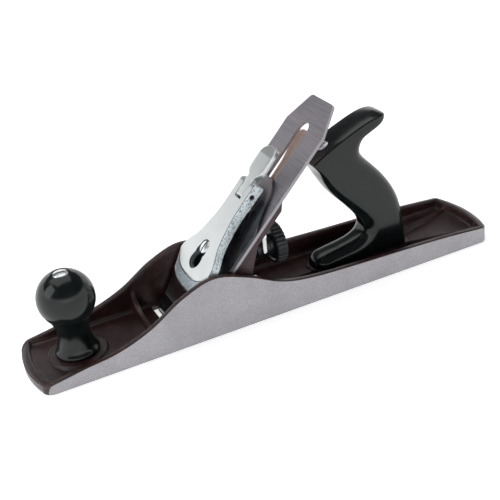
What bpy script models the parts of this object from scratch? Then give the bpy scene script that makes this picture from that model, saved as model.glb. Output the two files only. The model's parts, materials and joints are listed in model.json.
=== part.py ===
"""Bench hand plane: a cast body, a sliding frog, an iron with its cap, and two moulded handles.

World frame: the sole lies on z = 0 and its middle is the origin. The toe points along -X.
Bed frame: its origin is on the cutting edge's line, +X runs up the bed, +Z stands off the iron.
"""

import math

import bmesh
import bpy
from mathutils import Matrix, Vector

MM = 0.001
GAP = 0.3 * MM  # between pieces that rest on or pass through each other
CIRCLE = 32  # sides of a round piece
SMALL_CIRCLE = 20  # sides of a screw or a pin

# Body
LENGTH = 355 * MM
SOLE = 4.5 * MM
CHEEK = 4.0 * MM
END_BOW = 6.0 * MM  # how far the ends bow past their corners
LIP = 4.5 * MM  # rim left round the tray at the toe and the heel
TOE_HEIGHT = 7.6 * MM
HEEL_HEIGHT = 12.4 * MM
HUMP_HEIGHT = 45.0 * MM
HUMP_AHEAD = 25.7 * MM  # from the cutting edge back to the top of the cheeks
CHEEK_SIDE_GAP = 2.35 * MM  # from the iron's edge to the cheek

# Places along the sole, from the toe
KNOB_FROM_TOE = 36.5 * MM
EDGE_FROM_TOE = 103.3 * MM
TOTE_FROM_EDGE = 111.2 * MM

# Mouth and seat
BED_ANGLE = math.radians(45)
MOUTH_AHEAD = 4.6 * MM
MOUTH_BEHIND = 1.0 * MM
MOUTH_SIDE_GAP = 1.2 * MM
RIB_FROM_EDGE = 15.0 * MM
RIB_WIDTH = 5.5 * MM
RIB_HEIGHT = 8.0 * MM
RIB_SIDE_HEIGHT = 19.0 * MM
SEAT_HEIGHT = 9.0 * MM
SEAT_LENGTH = 55.0 * MM
SEAT_HALF = 20.0 * MM
BOSS_HEIGHT = 18.0 * MM
BOSS_HALF = 6.0 * MM
BOSS_LENGTH = 15.0 * MM

# Iron and cap iron
IRON_WIDTH = 50.8 * MM
IRON_THICKNESS = 2.2 * MM
IRON_LENGTH = 188.4 * MM
IRON_LIFT = 0.28 * MM  # the edge stands this far up the bed from the sole
BEVEL_ANGLE = math.radians(25)
IRON_TOP_HALF = 15.0 * MM
IRON_TAPER = 22.4 * MM
SLOT_HALF = 5.5 * MM
SLOT_LOW = 28.0 * MM
SLOT_HIGH = 170.0 * MM
SLOT_EYE = 9.0 * MM
CAP_IRON_THICKNESS = 1.8 * MM
CAP_IRON_EDGE = 1.5 * MM
CAP_IRON_HIGH = 125.0 * MM
CAP_IRON_SHOULDER = 88.0 * MM
CAP_IRON_TOP_HALF = 15.5 * MM
HUMP_RISE = 2.2 * MM
HUMP_LENGTH = 9.5 * MM
CAP_SCREW_AT = 44.0 * MM
CAP_SCREW_HEAD = 8.0 * MM
CAP_SCREW_SHANK = 3.5 * MM
CAP_SCREW_HEAD_THICKNESS = 3.0 * MM

# Frog
FROG_HALF = 23.0 * MM
FROG_TOP = 116.5 * MM
BED_PLATE = 5.0 * MM
FROG_BASE = 4.2 * MM
FROG_WEB = 3.2 * MM
FROG_FOOT = 55.0 * MM  # from the edge to the back of the foot
FROG_SCREW_FROM_EDGE = 34.0 * MM
FROG_SCREW_SIDE = 13.6 * MM
FROG_SCREW_R = 2.5 * MM
FROG_HEAD_R = 4.4 * MM
FROG_WASHER_R = 4.8 * MM
FROG_TRAVEL = 2.6 * MM

# Depth adjuster
YOKE_AT = 85.35 * MM
YOKE_DROP = 6.15 * MM
YOKE_HALF = 3.4 * MM
YOKE_PIN_R = 1.6 * MM
YOKE_TOOTH = 5.0 * MM
FORK_DROP = 17.5 * MM
FORK_BACK = 9.5 * MM
FORK_ARM = 2.6 * MM
FORK_INSIDE = 6.3 * MM
FORK_OUTSIDE = 9.4 * MM
GROOVE = 5.0 * MM
GROOVE_R = 5.7 * MM
COLLAR = 2.4 * MM
COLLAR_R = 8.0 * MM
SLEEVE_R = 5.2 * MM
STUD_R = 3.0 * MM
STUD_END = 19.0 * MM  # behind the groove
WHEEL_R = 15.0 * MM
WHEEL_WIDTH = 8.0 * MM
WHEEL_BACK = 11.5 * MM  # from the groove to the middle of the wheel
WHEEL_RIBS = 30

# Frog adjusting screw
ADJUSTER_HEIGHT = 12.5 * MM
ADJUSTER_R = 3.0 * MM
ADJUSTER_COLLAR_R = 4.4 * MM
CLIP = 1.8 * MM
CLIP_HALF = 7.0 * MM

CLIP_SCREW_R = 1.8 * MM
CLIP_SCREW_Z = 25.5 * MM

# Lateral lever
RIVET_R = 2.2 * MM
LATERAL_AT = 108.0 * MM
LATERAL_DROP = 1.2 * MM
LATERAL_THICKNESS = 1.5 * MM
LATERAL_REACH = 57.0 * MM
LATERAL_HALF = 8.0 * MM
ROLLER_DROP = 10.0 * MM
ROLLER_R = 5.1 * MM

# Lever cap
CAP_TOP = 13.8 * MM
CAP_NOSE = 13.6 * MM
CAP_FRONT = 39.0 * MM
CAP_CORNER = 49.5 * MM
CAP_END = 116.0 * MM
CAP_HALF = 25.2 * MM
CAP_WAIST = 10.2 * MM
CAP_WALL = 2.6 * MM
CAP_ROOF = 3.0 * MM
LEVER_SCREW_AT = 60.5 * MM
LEVER_SCREW_R = 3.4 * MM
LEVER_SCREW_BITE = 6.3 * MM
LEVER_HEAD_R = 4.9 * MM
LEVER_HEAD = 1.6 * MM
KEYHOLE_SLIDE = 10.3 * MM
KEYHOLE_WIDE_R = 6.8 * MM
KEYHOLE_LEDGE = 1.5 * MM
CAM_AT = 107.0 * MM
CAM_HEIGHT = 10.0 * MM
CAM_LOBE = 5.0 * MM
CAM_PRESS = 6.35 * MM
CAM_HALF = 3.9 * MM
CAM_PIN_R = 1.5 * MM
THUMB_HALF = 9.3 * MM
THUMB_REACH = 37.0 * MM
SPRING = 0.8 * MM
SPRING_HALF = 6.0 * MM
SPRING_RIVET = 80.0 * MM
CAP_AT_WAIST = 100.0 * MM

# Knob
KNOB_BALL_R = 19.6 * MM
KNOB_BALL_Z = 48.0 * MM
KNOB_NECK_R = 11.0 * MM
KNOB_FOOT_R = 15.2 * MM
KNOB_SEAT = 6.0 * MM
KNOB_SEAT_R = 19.5 * MM
ROD_R = 2.7 * MM
NUT_R = 5.8 * MM
NUT_HEIGHT = 3.0 * MM
DRIVER_SLOT = 1.3 * MM

# Tote
TOTE_HALF = 12.2 * MM
TOTE_ROUND = 7.0 * MM
TOTE_SEAT = 9.0 * MM
TOTE_SEAT_HALF = 11.0 * MM
TOTE_LENGTH = 80.5 * MM
TOTE_ROD_LEAN = math.radians(24)
TOTE_NUT_BACK = 19.9 * MM  # from the front of the foot to the nut
TOTE_NUT_HEIGHT = 100.2 * MM
TOTE_NUT_PROUD = 1.0 * MM

# Derived places
TOE = -LENGTH / 2
HEEL = LENGTH / 2
EDGE_X = TOE + EDGE_FROM_TOE
KNOB_X = TOE + KNOB_FROM_TOE
TOTE_X = EDGE_X + TOTE_FROM_EDGE
HALF_WIDTH = IRON_WIDTH / 2 + CHEEK_SIDE_GAP + CHEEK
TRAY_HALF = HALF_WIDTH - CHEEK
BED_FACE = -IRON_THICKNESS - GAP
CAP_IRON_LOW = GAP
CAP_IRON_FACE = CAP_IRON_LOW + CAP_IRON_THICKNESS
SPRING_LOW = CAP_IRON_FACE + GAP
FROG_LOW = SEAT_HEIGHT + GAP
LATERAL_TOP = BED_FACE - LATERAL_DROP + GAP
YOKE_PIN_HALF = 7.6 * MM
CLIP_X = EDGE_X + FROG_FOOT + 6.7 * MM
TOTE_ROD_LENGTH = (TOTE_NUT_HEIGHT - 3.4 * MM) / math.cos(TOTE_ROD_LEAN)
BED = Matrix.Translation((EDGE_X, 0, 0)) @ Matrix.Rotation(-BED_ANGLE, 4, "Y")


def clear_scene():
    for obj in list(bpy.data.objects):
        bpy.data.objects.remove(obj, do_unlink=True)


def collection(name):
    made = bpy.data.collections.new(name)
    bpy.context.scene.collection.children.link(made)
    return made


clear_scene()
PARTS = collection("hand_plane")
CUTTERS = collection("cutters")
CUTTERS.hide_render = True


def material(name, color, roughness, metallic=0.0):
    made = bpy.data.materials.new(name)
    made.use_nodes = True
    shader = made.node_tree.nodes["Principled BSDF"]
    shader.inputs["Base Color"].default_value = (*color, 1)
    shader.inputs["Roughness"].default_value = roughness
    shader.inputs["Metallic"].default_value = metallic
    return made


IRON_CASTING = material("painted casting", (0.030, 0.012, 0.012), 0.35)
STEEL = material("ground steel", (0.36, 0.35, 0.36), 0.38, 0.9)
NICKEL = material("nickel", (0.72, 0.74, 0.74), 0.22, 1.0)
BRIGHT = material("bright steel", (0.60, 0.62, 0.60), 0.30, 1.0)
BLACK = material("black plastic", (0.008, 0.008, 0.007), 0.25)
WHEEL_BLACK = material("wheel enamel", (0.018, 0.021, 0.024), 0.4)
BRONZE = material("plated lever", (0.48, 0.38, 0.31), 0.4, 0.9)


def frame(name, matrix):
    """An empty that stands at a joint or a working plane, for pieces to hang from."""
    empty = bpy.data.objects.new(name, None)
    PARTS.objects.link(empty)
    empty.matrix_world = matrix
    return empty


BED_FRAME = frame("bed_frame", BED)
YOKE_X, _, YOKE_Z = BED @ Vector((YOKE_AT, 0, -YOKE_DROP))
STUD_Z = YOKE_Z - FORK_DROP
GROOVE_X = YOKE_X + FORK_BACK
LEAN = Matrix.Rotation(-TOTE_ROD_LEAN, 4, "Y")
TOTE_ROD_FRAME = frame(
    "tote_rod_frame", Matrix.Translation((TOTE_X + TOTE_NUT_BACK, 0, TOTE_NUT_HEIGHT)) @ LEAN
)


def new_object(name, mesh, parent, group):
    obj = bpy.data.objects.new(name, mesh)
    group.objects.link(obj)
    if parent:
        obj.parent = parent
    if group is CUTTERS:
        obj.hide_render = True
        obj.display_type = "WIRE"
    return obj


def from_bmesh(name, shape, parent, group):
    """An object from a closed shape, turned right side out if its volume comes out negative."""
    bmesh.ops.recalc_face_normals(shape, faces=shape.faces)
    if shape.calc_volume(signed=True) < 0:
        bmesh.ops.reverse_faces(shape, faces=shape.faces)
    mesh = bpy.data.meshes.new(name)
    shape.to_mesh(mesh)
    shape.free()
    return new_object(name, mesh, parent, group)


def box(name, low, high, parent=None, group=CUTTERS):
    """A box between two corners."""
    low, high = Vector(low), Vector(high)
    shape = bmesh.new()
    bmesh.ops.create_cube(shape, size=1)
    size = Matrix.Diagonal((*(high - low), 1))
    shape.transform(Matrix.Translation((low + high) / 2) @ size)
    return from_bmesh(name, shape, parent, group)


TURNS = {
    "X": Matrix.Rotation(math.pi / 2, 4, "Y"),
    "Y": Matrix.Rotation(-math.pi / 2, 4, "X"),
    "Z": Matrix.Identity(4),
}


def rod(name, radius, start, end, axis, centre, parent=None, group=CUTTERS, sides=SMALL_CIRCLE):
    """A cylinder along an axis from start to end. centre is its place across the axis."""
    shape = bmesh.new()
    bmesh.ops.create_cone(
        shape, cap_ends=True, segments=sides, radius1=radius, radius2=radius, depth=abs(end - start)
    )
    middle = (start + end) / 2
    u, v = centre
    place = {"X": (middle, u, v), "Y": (u, middle, v), "Z": (u, v, middle)}[axis]
    shape.transform(Matrix.Translation(place) @ TURNS[axis])
    return from_bmesh(name, shape, parent, group)


PLANES = {
    "XY": Matrix.Identity(4),
    "XZ": Matrix.Rotation(math.pi / 2, 4, "X"),
    "YZ": Matrix(((0, 0, 1, 0), (1, 0, 0, 0), (0, 1, 0, 0), (0, 0, 0, 1))),
}


def prism(name, loops, low, high, plane="XY", parent=None, group=CUTTERS):
    """A flat outline, with any holes in it, carried across its plane from low to high."""
    curve = bpy.data.curves.new(name, "CURVE")
    curve.dimensions = "2D"
    curve.fill_mode = "BOTH"
    curve.extrude = (high - low) / 2
    for loop in loops if isinstance(loops[0], list) else [loops]:
        spline = curve.splines.new("POLY")
        spline.points.add(len(loop) - 1)
        for point, (u, v) in zip(spline.points, loop):
            point.co = (u, v, 0, 1)
        spline.use_cyclic_u = True
    guide = bpy.data.objects.new(name, curve)
    CUTTERS.objects.link(guide)
    graph = bpy.context.evaluated_depsgraph_get()
    mesh = bpy.data.meshes.new_from_object(guide.evaluated_get(graph))
    bpy.data.objects.remove(guide, do_unlink=True)
    shape = bmesh.new()
    shape.from_mesh(mesh)
    bmesh.ops.remove_doubles(shape, verts=shape.verts, dist=1e-6)
    middle = (low + high) / 2
    # The XZ plane's own normal points along -Y.
    offset = {"XY": (0, 0, middle), "XZ": (0, middle, 0), "YZ": (middle, 0, 0)}[plane]
    shape.transform(Matrix.Translation(offset) @ PLANES[plane])
    return from_bmesh(name, shape, parent, group)


def turned(name, profile, axis, parent, closed=False, sides=CIRCLE, group=PARTS):
    """A profile of (radius, height) points, listed down its outer side, turned about an axis."""
    shape = bmesh.new()
    points = [shape.verts.new((radius, 0, height)) for radius, height in profile]
    for first, second in zip(points, points[1:]):
        shape.edges.new((first, second))
    if closed:
        shape.edges.new((points[-1], points[0]))
    mesh = bpy.data.meshes.new(name)
    shape.to_mesh(mesh)
    shape.free()
    obj = new_object(name, mesh, parent, group)
    screw = obj.modifiers.new("turn", "SCREW")
    screw.steps = screw.render_steps = sides
    screw.use_merge_vertices = True
    screw.merge_threshold = 0.00001
    obj.matrix_local = TURNS[axis]
    return obj


def boolean(obj, other, operation, solver="EXACT"):
    modifier = obj.modifiers.new(other.name, "BOOLEAN")
    modifier.operation = operation
    modifier.object = other
    modifier.solver = solver
    return obj


def cut(obj, *others, solver="EXACT"):
    for other in others:
        boolean(obj, other, "DIFFERENCE", solver)
    return obj


def join(obj, *others, solver="EXACT"):
    for other in others:
        boolean(obj, other, "UNION", solver)
    return obj


def keep(obj, other):
    return boolean(obj, other, "INTERSECT")


def finish(obj, look):
    obj.data.materials.clear()
    obj.data.materials.append(look)
    obj.data.shade_smooth()
    obj.data.set_sharp_from_angle(angle=math.radians(35))
    return obj


def arc(centre, radius, start, end, steps):
    """Points on a circle, from one angle to another in degrees."""
    u, v = centre
    angles = [math.radians(start + (end - start) * i / steps) for i in range(steps + 1)]
    return [(u + radius * math.cos(a), v + radius * math.sin(a)) for a in angles]


def smooth(points, steps):
    """A Catmull-Rom curve through points, each span in equal steps."""
    ends = [points[0], *points, points[-1]]
    line = []
    for a, b, c, d in zip(ends, ends[1:], ends[2:], ends[3:]):
        for i in range(steps):
            t = i / steps
            weights = (
                -t / 2 + t**2 - t**3 / 2,
                1 - 5 * t**2 / 2 + 3 * t**3 / 2,
                t / 2 + 2 * t**2 - 3 * t**3 / 2,
                -(t**2) / 2 + t**3 / 2,
            )
            line.append(tuple(sum(w * p[k] for w, p in zip(weights, (a, b, c, d))) for k in (0, 1)))
    return [*line, points[-1]]


def stadium(centre, radius, reach, along="X", steps=8):
    """A round-ended slot's outline, its ends' centres reach to each side of its centre."""
    u, v = centre
    if along == "X":
        return arc((u + reach, v), radius, -90, 90, steps) + arc((u - reach, v), radius, 90, 270, steps)
    return arc((u, v + reach), radius, 0, 180, steps) + arc((u, v - reach), radius, 180, 360, steps)


def mirrored(half):
    """An outline made whole across its first coordinate's axis from its +Y half."""
    return half + [(u, -v) for u, v in reversed(half) if abs(v) > 1e-9]


def on_bed(s, h):
    """The world (x, z) of a point s up the bed and h off the iron's face."""
    place = BED @ Vector((s, 0, h))
    return place.x, place.z


# ---------------------------------------------------------------- body


def bowed_plan(inset_end, half):
    """The sole's outline seen from above: straight sides, and ends that bow outwards."""
    reach = HEEL - inset_end
    radius = (HALF_WIDTH**2 + END_BOW**2) / (2 * END_BOW)
    angle = math.degrees(math.asin(half / radius))
    heel = arc((reach - radius, 0), radius, -angle, angle, 12)
    return heel + [(-x, -y) for x, y in heel]


def cheek_top():
    """The cheeks' upper edge from toe to heel."""
    hump = EDGE_X + HUMP_AHEAD
    stations = [
        (TOE + 2 * MM, TOE_HEIGHT),
        (TOE + 30 * MM, TOE_HEIGHT + 3.6 * MM),
        (hump - 73 * MM, 14.6 * MM),
        (hump - 48 * MM, 23.5 * MM),
        (hump - 24 * MM, 37.7 * MM),
        (hump, HUMP_HEIGHT),
        (hump + 24 * MM, 37.7 * MM),
        (hump + 49 * MM, 25.7 * MM),
        (hump + 73 * MM, 20.9 * MM),
        (hump + 110 * MM, 18.6 * MM),
        (HEEL - 56 * MM, HEEL_HEIGHT + 3.8 * MM),
        (HEEL - 8 * MM, HEEL_HEIGHT + 0.6 * MM),
    ]
    return smooth(stations, 3)


def side_outline():
    top = cheek_top()
    corner = arc((HEEL - 3 * MM, HEEL_HEIGHT - 3 * MM), 3 * MM, 60, 0, 2)
    past = 5 * MM
    return [
        (TOE - past, -past),
        (TOE - past, TOE_HEIGHT - 3 * MM),
        (TOE, TOE_HEIGHT - 1.6 * MM),
        *top,
        *corner,
        (HEEL + past, HEEL_HEIGHT - 4 * MM),
        (HEEL + past, -past),
    ]


def mouth_cutter():
    """A slot through the sole whose back follows the iron's underside."""
    low, high = -3 * MM, 25 * MM
    back = MOUTH_BEHIND * math.sqrt(2)
    under = (BED_FACE + GAP) * math.sqrt(2)
    ahead = EDGE_X - MOUTH_AHEAD
    outline = [
        (ahead, low),
        (EDGE_X + low - under + back, low),
        (EDGE_X + high - under + back, high),
        (ahead, high),
    ]
    half = IRON_WIDTH / 2 + MOUTH_SIDE_GAP
    return prism("mouth_cut", outline, -half, half, "XZ")


def cross_rib():
    """A low wall across the tray ahead of the mouth, dipped in the middle."""
    middle = EDGE_X - RIB_FROM_EDGE
    dip = RIB_SIDE_HEIGHT - RIB_HEIGHT
    reach = TRAY_HALF + CHEEK / 2
    count = 10
    top = [reach * (1 - 2 * i / count) for i in range(count + 1)]
    outline = [(-reach, SOLE / 2), (reach, SOLE / 2)]
    outline += [(y, RIB_HEIGHT + dip * abs(y / TRAY_HALF) ** 4) for y in top]
    return prism("rib_join", outline, middle - RIB_WIDTH / 2, middle + RIB_WIDTH / 2, "YZ")


def frog_seat():
    """The raised seat, whose front slopes with the mouth, and the adjusting screw's boss."""
    back = EDGE_X + SEAT_LENGTH
    front = EDGE_X - (BED_FACE + GAP - MOUTH_BEHIND) * math.sqrt(2)
    outline = [
        (front + SOLE / 2, SOLE / 2),
        (back, SOLE / 2),
        (back, SEAT_HEIGHT),
        (front + SEAT_HEIGHT, SEAT_HEIGHT),
    ]
    seat = prism("seat_join", outline, -SEAT_HALF, SEAT_HALF, "XZ")
    low = (back - BOSS_LENGTH, -BOSS_HALF, SOLE / 2)
    boss = box("boss_join", low, (back + 1.5 * MM, BOSS_HALF, BOSS_HEIGHT))
    return seat, boss


def tote_seat():
    """The tote's platform, its rib to the frog, and two ribs that splay to the heel."""
    start = TOTE_X - 0.5 * MM
    end = TOTE_X + TOTE_LENGTH
    half = TOTE_SEAT_HALF
    nose = arc((start + half, 0), half, 90, 270, 10)
    platform = prism("platform_join", [(end, half), *nose, (end, -half)], SOLE / 2, TOTE_SEAT)
    rib_start = EDGE_X + SEAT_LENGTH - 2 * MM
    rib = box("rib_back_join", (rib_start, -4 * MM, SOLE / 2), (start + 4 * MM, 4 * MM, 7.4 * MM))
    made = [platform, rib]
    for name, side in (("near", -1), ("far", 1)):
        far_end = Vector((HEEL - LIP - 2 * MM, side * (TRAY_HALF - 7 * MM)))
        near_end = Vector((end - 5 * MM, side * (half - 4 * MM)))
        across = (far_end - near_end).orthogonal().normalized() * 1.8 * MM
        corners = [near_end + across, far_end + across, far_end - across, near_end - across]
        outline = [tuple(point) for point in corners]
        made.append(prism(f"splay_{name}_join", outline, SOLE / 2, 7 * MM))
    return made


def make_body():
    body = prism("body", bowed_plan(0, HALF_WIDTH), 0, HUMP_HEIGHT + 10 * MM, "XY", group=PARTS)
    keep(body, prism("side_keep", side_outline(), -HALF_WIDTH - 5 * MM, HALF_WIDTH + 5 * MM, "XZ"))
    tray = prism("tray_cut", bowed_plan(LIP, TRAY_HALF), SOLE, HUMP_HEIGHT + 20 * MM)
    cut(body, tray)
    join(body, cross_rib(), *frog_seat(), *tote_seat())
    seat = rod("knob_seat_join", KNOB_SEAT_R, SOLE / 2, KNOB_SEAT, "Z", (KNOB_X, 0), sides=CIRCLE)
    join(body, seat)
    cut(body, mouth_cutter())
    hole = ROD_R + GAP
    bore = rod("knob_rod_cut", hole, 1.2 * MM, 20 * MM, "Z", (KNOB_X, 0))
    cut(body, bore, solver="MANIFOLD")
    for name, side in (("near", -1), ("far", 1)):
        place = (EDGE_X + FROG_SCREW_FROM_EDGE, side * FROG_SCREW_SIDE)
        cut(body, rod(f"seat_screw_{name}_cut", FROG_SCREW_R + GAP, 1.2 * MM, 20 * MM, "Z", place))
    back = EDGE_X + SEAT_LENGTH
    start = back - BOSS_LENGTH + 2 * MM
    height = (0, ADJUSTER_HEIGHT)
    cut(body, rod("adjuster_cut", ADJUSTER_R + GAP, start, back + 9 * MM, "X", height))
    cut(body, rod("tote_rod_cut", hole, -TOTE_ROD_LENGTH, 2 * MM, "Z", (0, 0), TOTE_ROD_FRAME))
    return finish(body, IRON_CASTING)


# ---------------------------------------------------------------- frog


def frog_outline():
    """The bed plate seen square on: parallel sides, and clipped top corners."""
    clip = 6 * MM
    half = [
        (FROG_TOP, 0),
        (FROG_TOP, FROG_HALF - clip),
        (FROG_TOP - clip, FROG_HALF),
        (8 * MM, FROG_HALF),
        (8 * MM, 0),
    ]
    return mirrored(half)


def frog_web(name, side):
    foot = EDGE_X + FROG_FOOT
    middle = BED_FACE - BED_PLATE / 2
    outline = [
        on_bed(22 * MM, middle),
        (EDGE_X + 20 * MM, FROG_LOW + FROG_BASE / 2),
        (foot - 0.6 * MM, FROG_LOW + FROG_BASE / 2),
        (foot + 2.7 * MM, 36 * MM),
        (foot + 8.2 * MM, 52 * MM),
        on_bed(93 * MM, middle),
    ]
    inner, outer = FROG_HALF - FROG_WEB, FROG_HALF - 0.2 * MM
    low, high = sorted((side * inner, side * outer))
    return prism(f"web_{name}_join", outline, low, high, "XZ")


def yoke_ears():
    """Two lugs behind the bed plate that carry the yoke's pin."""
    reach, drop = 7 * MM, 11.5 * MM
    outline = [
        (YOKE_AT - reach, BED_FACE - BED_PLATE / 2),
        (YOKE_AT + reach, BED_FACE - BED_PLATE / 2),
        (YOKE_AT + 3 * MM, -drop),
        (YOKE_AT - 3 * MM, -drop),
    ]
    return prism("ears_join", outline, -8 * MM, 8 * MM, "XZ", BED_FRAME)


def make_frog():
    frog = prism("frog", frog_outline(), BED_FACE - BED_PLATE, BED_FACE, "XY", BED_FRAME, PARTS)
    foot = EDGE_X + FROG_FOOT
    base_low = (EDGE_X + 11 * MM, -FROG_HALF + 0.4 * MM, FROG_LOW - 8 * MM)
    base = box("base_join", base_low, (foot, FROG_HALF - 0.4 * MM, FROG_LOW + FROG_BASE))
    join(frog, base, frog_web("near", -1), frog_web("far", 1))
    rib_low = (foot - 4 * MM, -FROG_HALF + FROG_WEB / 2, 30 * MM)
    rib = box("cross_join", rib_low, (foot + 1 * MM, FROG_HALF - FROG_WEB / 2, 45 * MM))
    pad_low = (foot - 2.5 * MM, -8 * MM, BOSS_HEIGHT + 2 * MM)
    pad = box("pad_join", pad_low, (CLIP_X - GAP, 8 * MM, 33 * MM))
    stud_boss = rod("stud_boss_join", 7 * MM, foot - 3 * MM, foot + 6 * MM, "X", (0, STUD_Z))
    low, high = BED_FACE - LEVER_SCREW_BITE - MM, BED_FACE - BED_PLATE / 2
    place = (LEVER_SCREW_AT, 0)
    screw_boss = rod("screw_boss_join", 6.5 * MM, low, high, "Z", place, BED_FRAME)
    join(frog, rib, pad, stud_boss, screw_boss, yoke_ears())
    below = box("below_cut", (TOE, -HALF_WIDTH, -20 * MM), (HEEL, HALF_WIDTH, FROG_LOW))
    cut(frog, below)
    ahead = box("ahead_cut", (-20 * MM, -40 * MM, BED_FACE), (60 * MM, 40 * MM, 40 * MM), BED_FRAME)
    cut(frog, ahead)
    gap = BOSS_HALF + 1.2 * MM
    low = (foot - BOSS_LENGTH - 4 * MM, -gap, 0)
    cut(frog, box("boss_gap_cut", low, (foot + 20 * MM, gap, BOSS_HEIGHT + 1.2 * MM)))
    for name, side in (("near", -1), ("far", 1)):
        place = (EDGE_X + FROG_SCREW_FROM_EDGE, side * FROG_SCREW_SIDE)
        shank = stadium(place, FROG_SCREW_R + GAP, FROG_TRAVEL)
        head = stadium(place, FROG_WASHER_R + GAP, FROG_TRAVEL)
        cut(frog, prism(f"shank_{name}_cut", shank, 0, FROG_LOW + 2 * FROG_BASE))
        cut(frog, prism(f"head_{name}_cut", head, FROG_LOW + FROG_BASE, 60 * MM))
    recess = CAP_SCREW_HEAD + 2.2 * MM
    low = (CAP_SCREW_AT - recess, -recess, BED_FACE - 2 * BED_PLATE)
    cut(frog, box("head_recess_cut", low, (CAP_SCREW_AT + recess, recess, 5 * MM), BED_FRAME))
    start = LATERAL_AT - ROLLER_DROP - ROLLER_R - 1.2 * MM
    low = (start, -11 * MM, LATERAL_TOP - LATERAL_THICKNESS - GAP)
    cut(frog, box("lateral_cut", low, (FROG_TOP + 5 * MM, 11 * MM, 5 * MM), BED_FRAME))
    reach = YOKE_TOOTH / 2 + 2.8 * MM
    low = (YOKE_AT - reach - 1 * MM, -YOKE_HALF - GAP, -25 * MM)
    cut(frog, box("yoke_cut", low, (YOKE_AT + reach, YOKE_HALF + GAP, 5 * MM), BED_FRAME))
    place = (YOKE_AT, -YOKE_DROP)
    reach = YOKE_PIN_HALF + GAP
    cut(frog, rod("yoke_pin_cut", YOKE_PIN_R + GAP, -reach, reach, "Y", place, BED_FRAME))
    bores = (
        ("lateral_pin_cut", RIVET_R + GAP, LATERAL_AT),
        ("lever_screw_cut", LEVER_SCREW_R + GAP, LEVER_SCREW_AT),
    )
    for name, radius, at in bores:
        cut(frog, rod(name, radius, -30 * MM, 5 * MM, "Z", (at, 0), BED_FRAME))
    cut(frog, rod("stud_cut", STUD_R + GAP, foot - 20 * MM, foot + 20 * MM, "X", (0, STUD_Z)))
    low, high = foot - 1 * MM, foot + 20 * MM
    cut(frog, rod("clip_screw_cut", CLIP_SCREW_R + GAP, low, high, "X", (0, CLIP_SCREW_Z)))
    return finish(frog, IRON_CASTING)


# ---------------------------------------------------------------- frog hardware


def slotted(obj, name, width, top, reach, parent):
    """A screwdriver slot across a round head that faces +Z in its parent's frame."""
    low = (-reach, -width / 2, top - 1.1 * MM)
    return cut(obj, box(name, low, (reach, width / 2, top + 2 * MM), parent))


def make_frog_screw(name, side):
    x, y = EDGE_X + FROG_SCREW_FROM_EDGE, side * FROG_SCREW_SIDE
    place = frame(f"{name}_frame", Matrix.Translation((x, y, 0)))
    seat = FROG_LOW + FROG_BASE + GAP
    under = seat + 1.3 * MM
    top = under + 3.8 * MM
    profile = [
        (0, top),
        (FROG_HEAD_R, top),
        (FROG_HEAD_R, under),
        (FROG_SCREW_R, under),
        (FROG_SCREW_R, 2.0 * MM),
        (0, 2.0 * MM),
    ]
    screw = turned(name, profile, "Z", place, sides=SMALL_CIRCLE)
    finish(slotted(screw, f"{name}_slot", DRIVER_SLOT, top, FROG_HEAD_R * 1.2, place), BRIGHT)
    hole = FROG_SCREW_R + GAP
    ring = [(FROG_WASHER_R, under - GAP), (FROG_WASHER_R, seat), (hole, seat), (hole, under - GAP)]
    return finish(turned(f"{name}_washer", ring, "Z", place, True, SMALL_CIRCLE), BRIGHT)


def make_adjuster():
    place = frame("adjuster_frame", Matrix.Translation((CLIP_X, 0, ADJUSTER_HEIGHT)))
    groove = CLIP + GAP
    head = groove + 5.5 * MM
    profile = [
        (0, head),
        (ADJUSTER_COLLAR_R, head),
        (ADJUSTER_COLLAR_R, groove),
        (ADJUSTER_R, groove),
        (ADJUSTER_R, -GAP),
        (ADJUSTER_COLLAR_R, -GAP),
        (ADJUSTER_COLLAR_R, -2.2 * MM),
        (ADJUSTER_R, -2.2 * MM),
        (ADJUSTER_R, -17 * MM),
        (0, -17 * MM),
    ]
    screw = turned("frog_adjust_screw", profile, "X", place, sides=SMALL_CIRCLE)
    reach = ADJUSTER_COLLAR_R * 1.2
    low = (head - 1.4 * MM, -reach, -DRIVER_SLOT / 2)
    slot = box("adjuster_slot", low, (head + 2 * MM, reach, DRIVER_SLOT / 2), place)
    return finish(cut(screw, slot), BRIGHT)


def make_clip():
    """A forked plate on the frog's foot that sits in the adjusting screw's groove."""
    reach = ADJUSTER_R + GAP
    top = CLIP_SCREW_Z + 5 * MM
    low = SOLE + 4 * MM
    fork = arc((0, ADJUSTER_HEIGHT), reach, 180, 0, 8)
    outline = [(-CLIP_HALF, low), (-reach, low), *fork, (reach, low), (CLIP_HALF, low)]
    outline += [(CLIP_HALF, top), (-CLIP_HALF, top)]
    plate = prism("frog_clip", outline, CLIP_X, CLIP_X + CLIP, "YZ", group=PARTS)
    hole = rod("clip_hole", CLIP_SCREW_R + GAP, CLIP_X - MM, CLIP_X + 9 * MM, "X", (0, CLIP_SCREW_Z))
    finish(cut(plate, hole), BRIGHT)
    place = frame("clip_screw_frame", Matrix.Translation((CLIP_X + CLIP + GAP, 0, CLIP_SCREW_Z)))
    back = -9 * MM
    profile = [
        (0, 2.2 * MM),
        (2.6 * MM, 2.2 * MM),
        (3.3 * MM, 1.4 * MM),
        (3.3 * MM, 0),
        (CLIP_SCREW_R, 0),
        (CLIP_SCREW_R, back),
        (0, back),
    ]
    return finish(turned("frog_clip_screw", profile, "X", place, sides=SMALL_CIRCLE), BRIGHT)


# ---------------------------------------------------------------- depth adjuster


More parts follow.
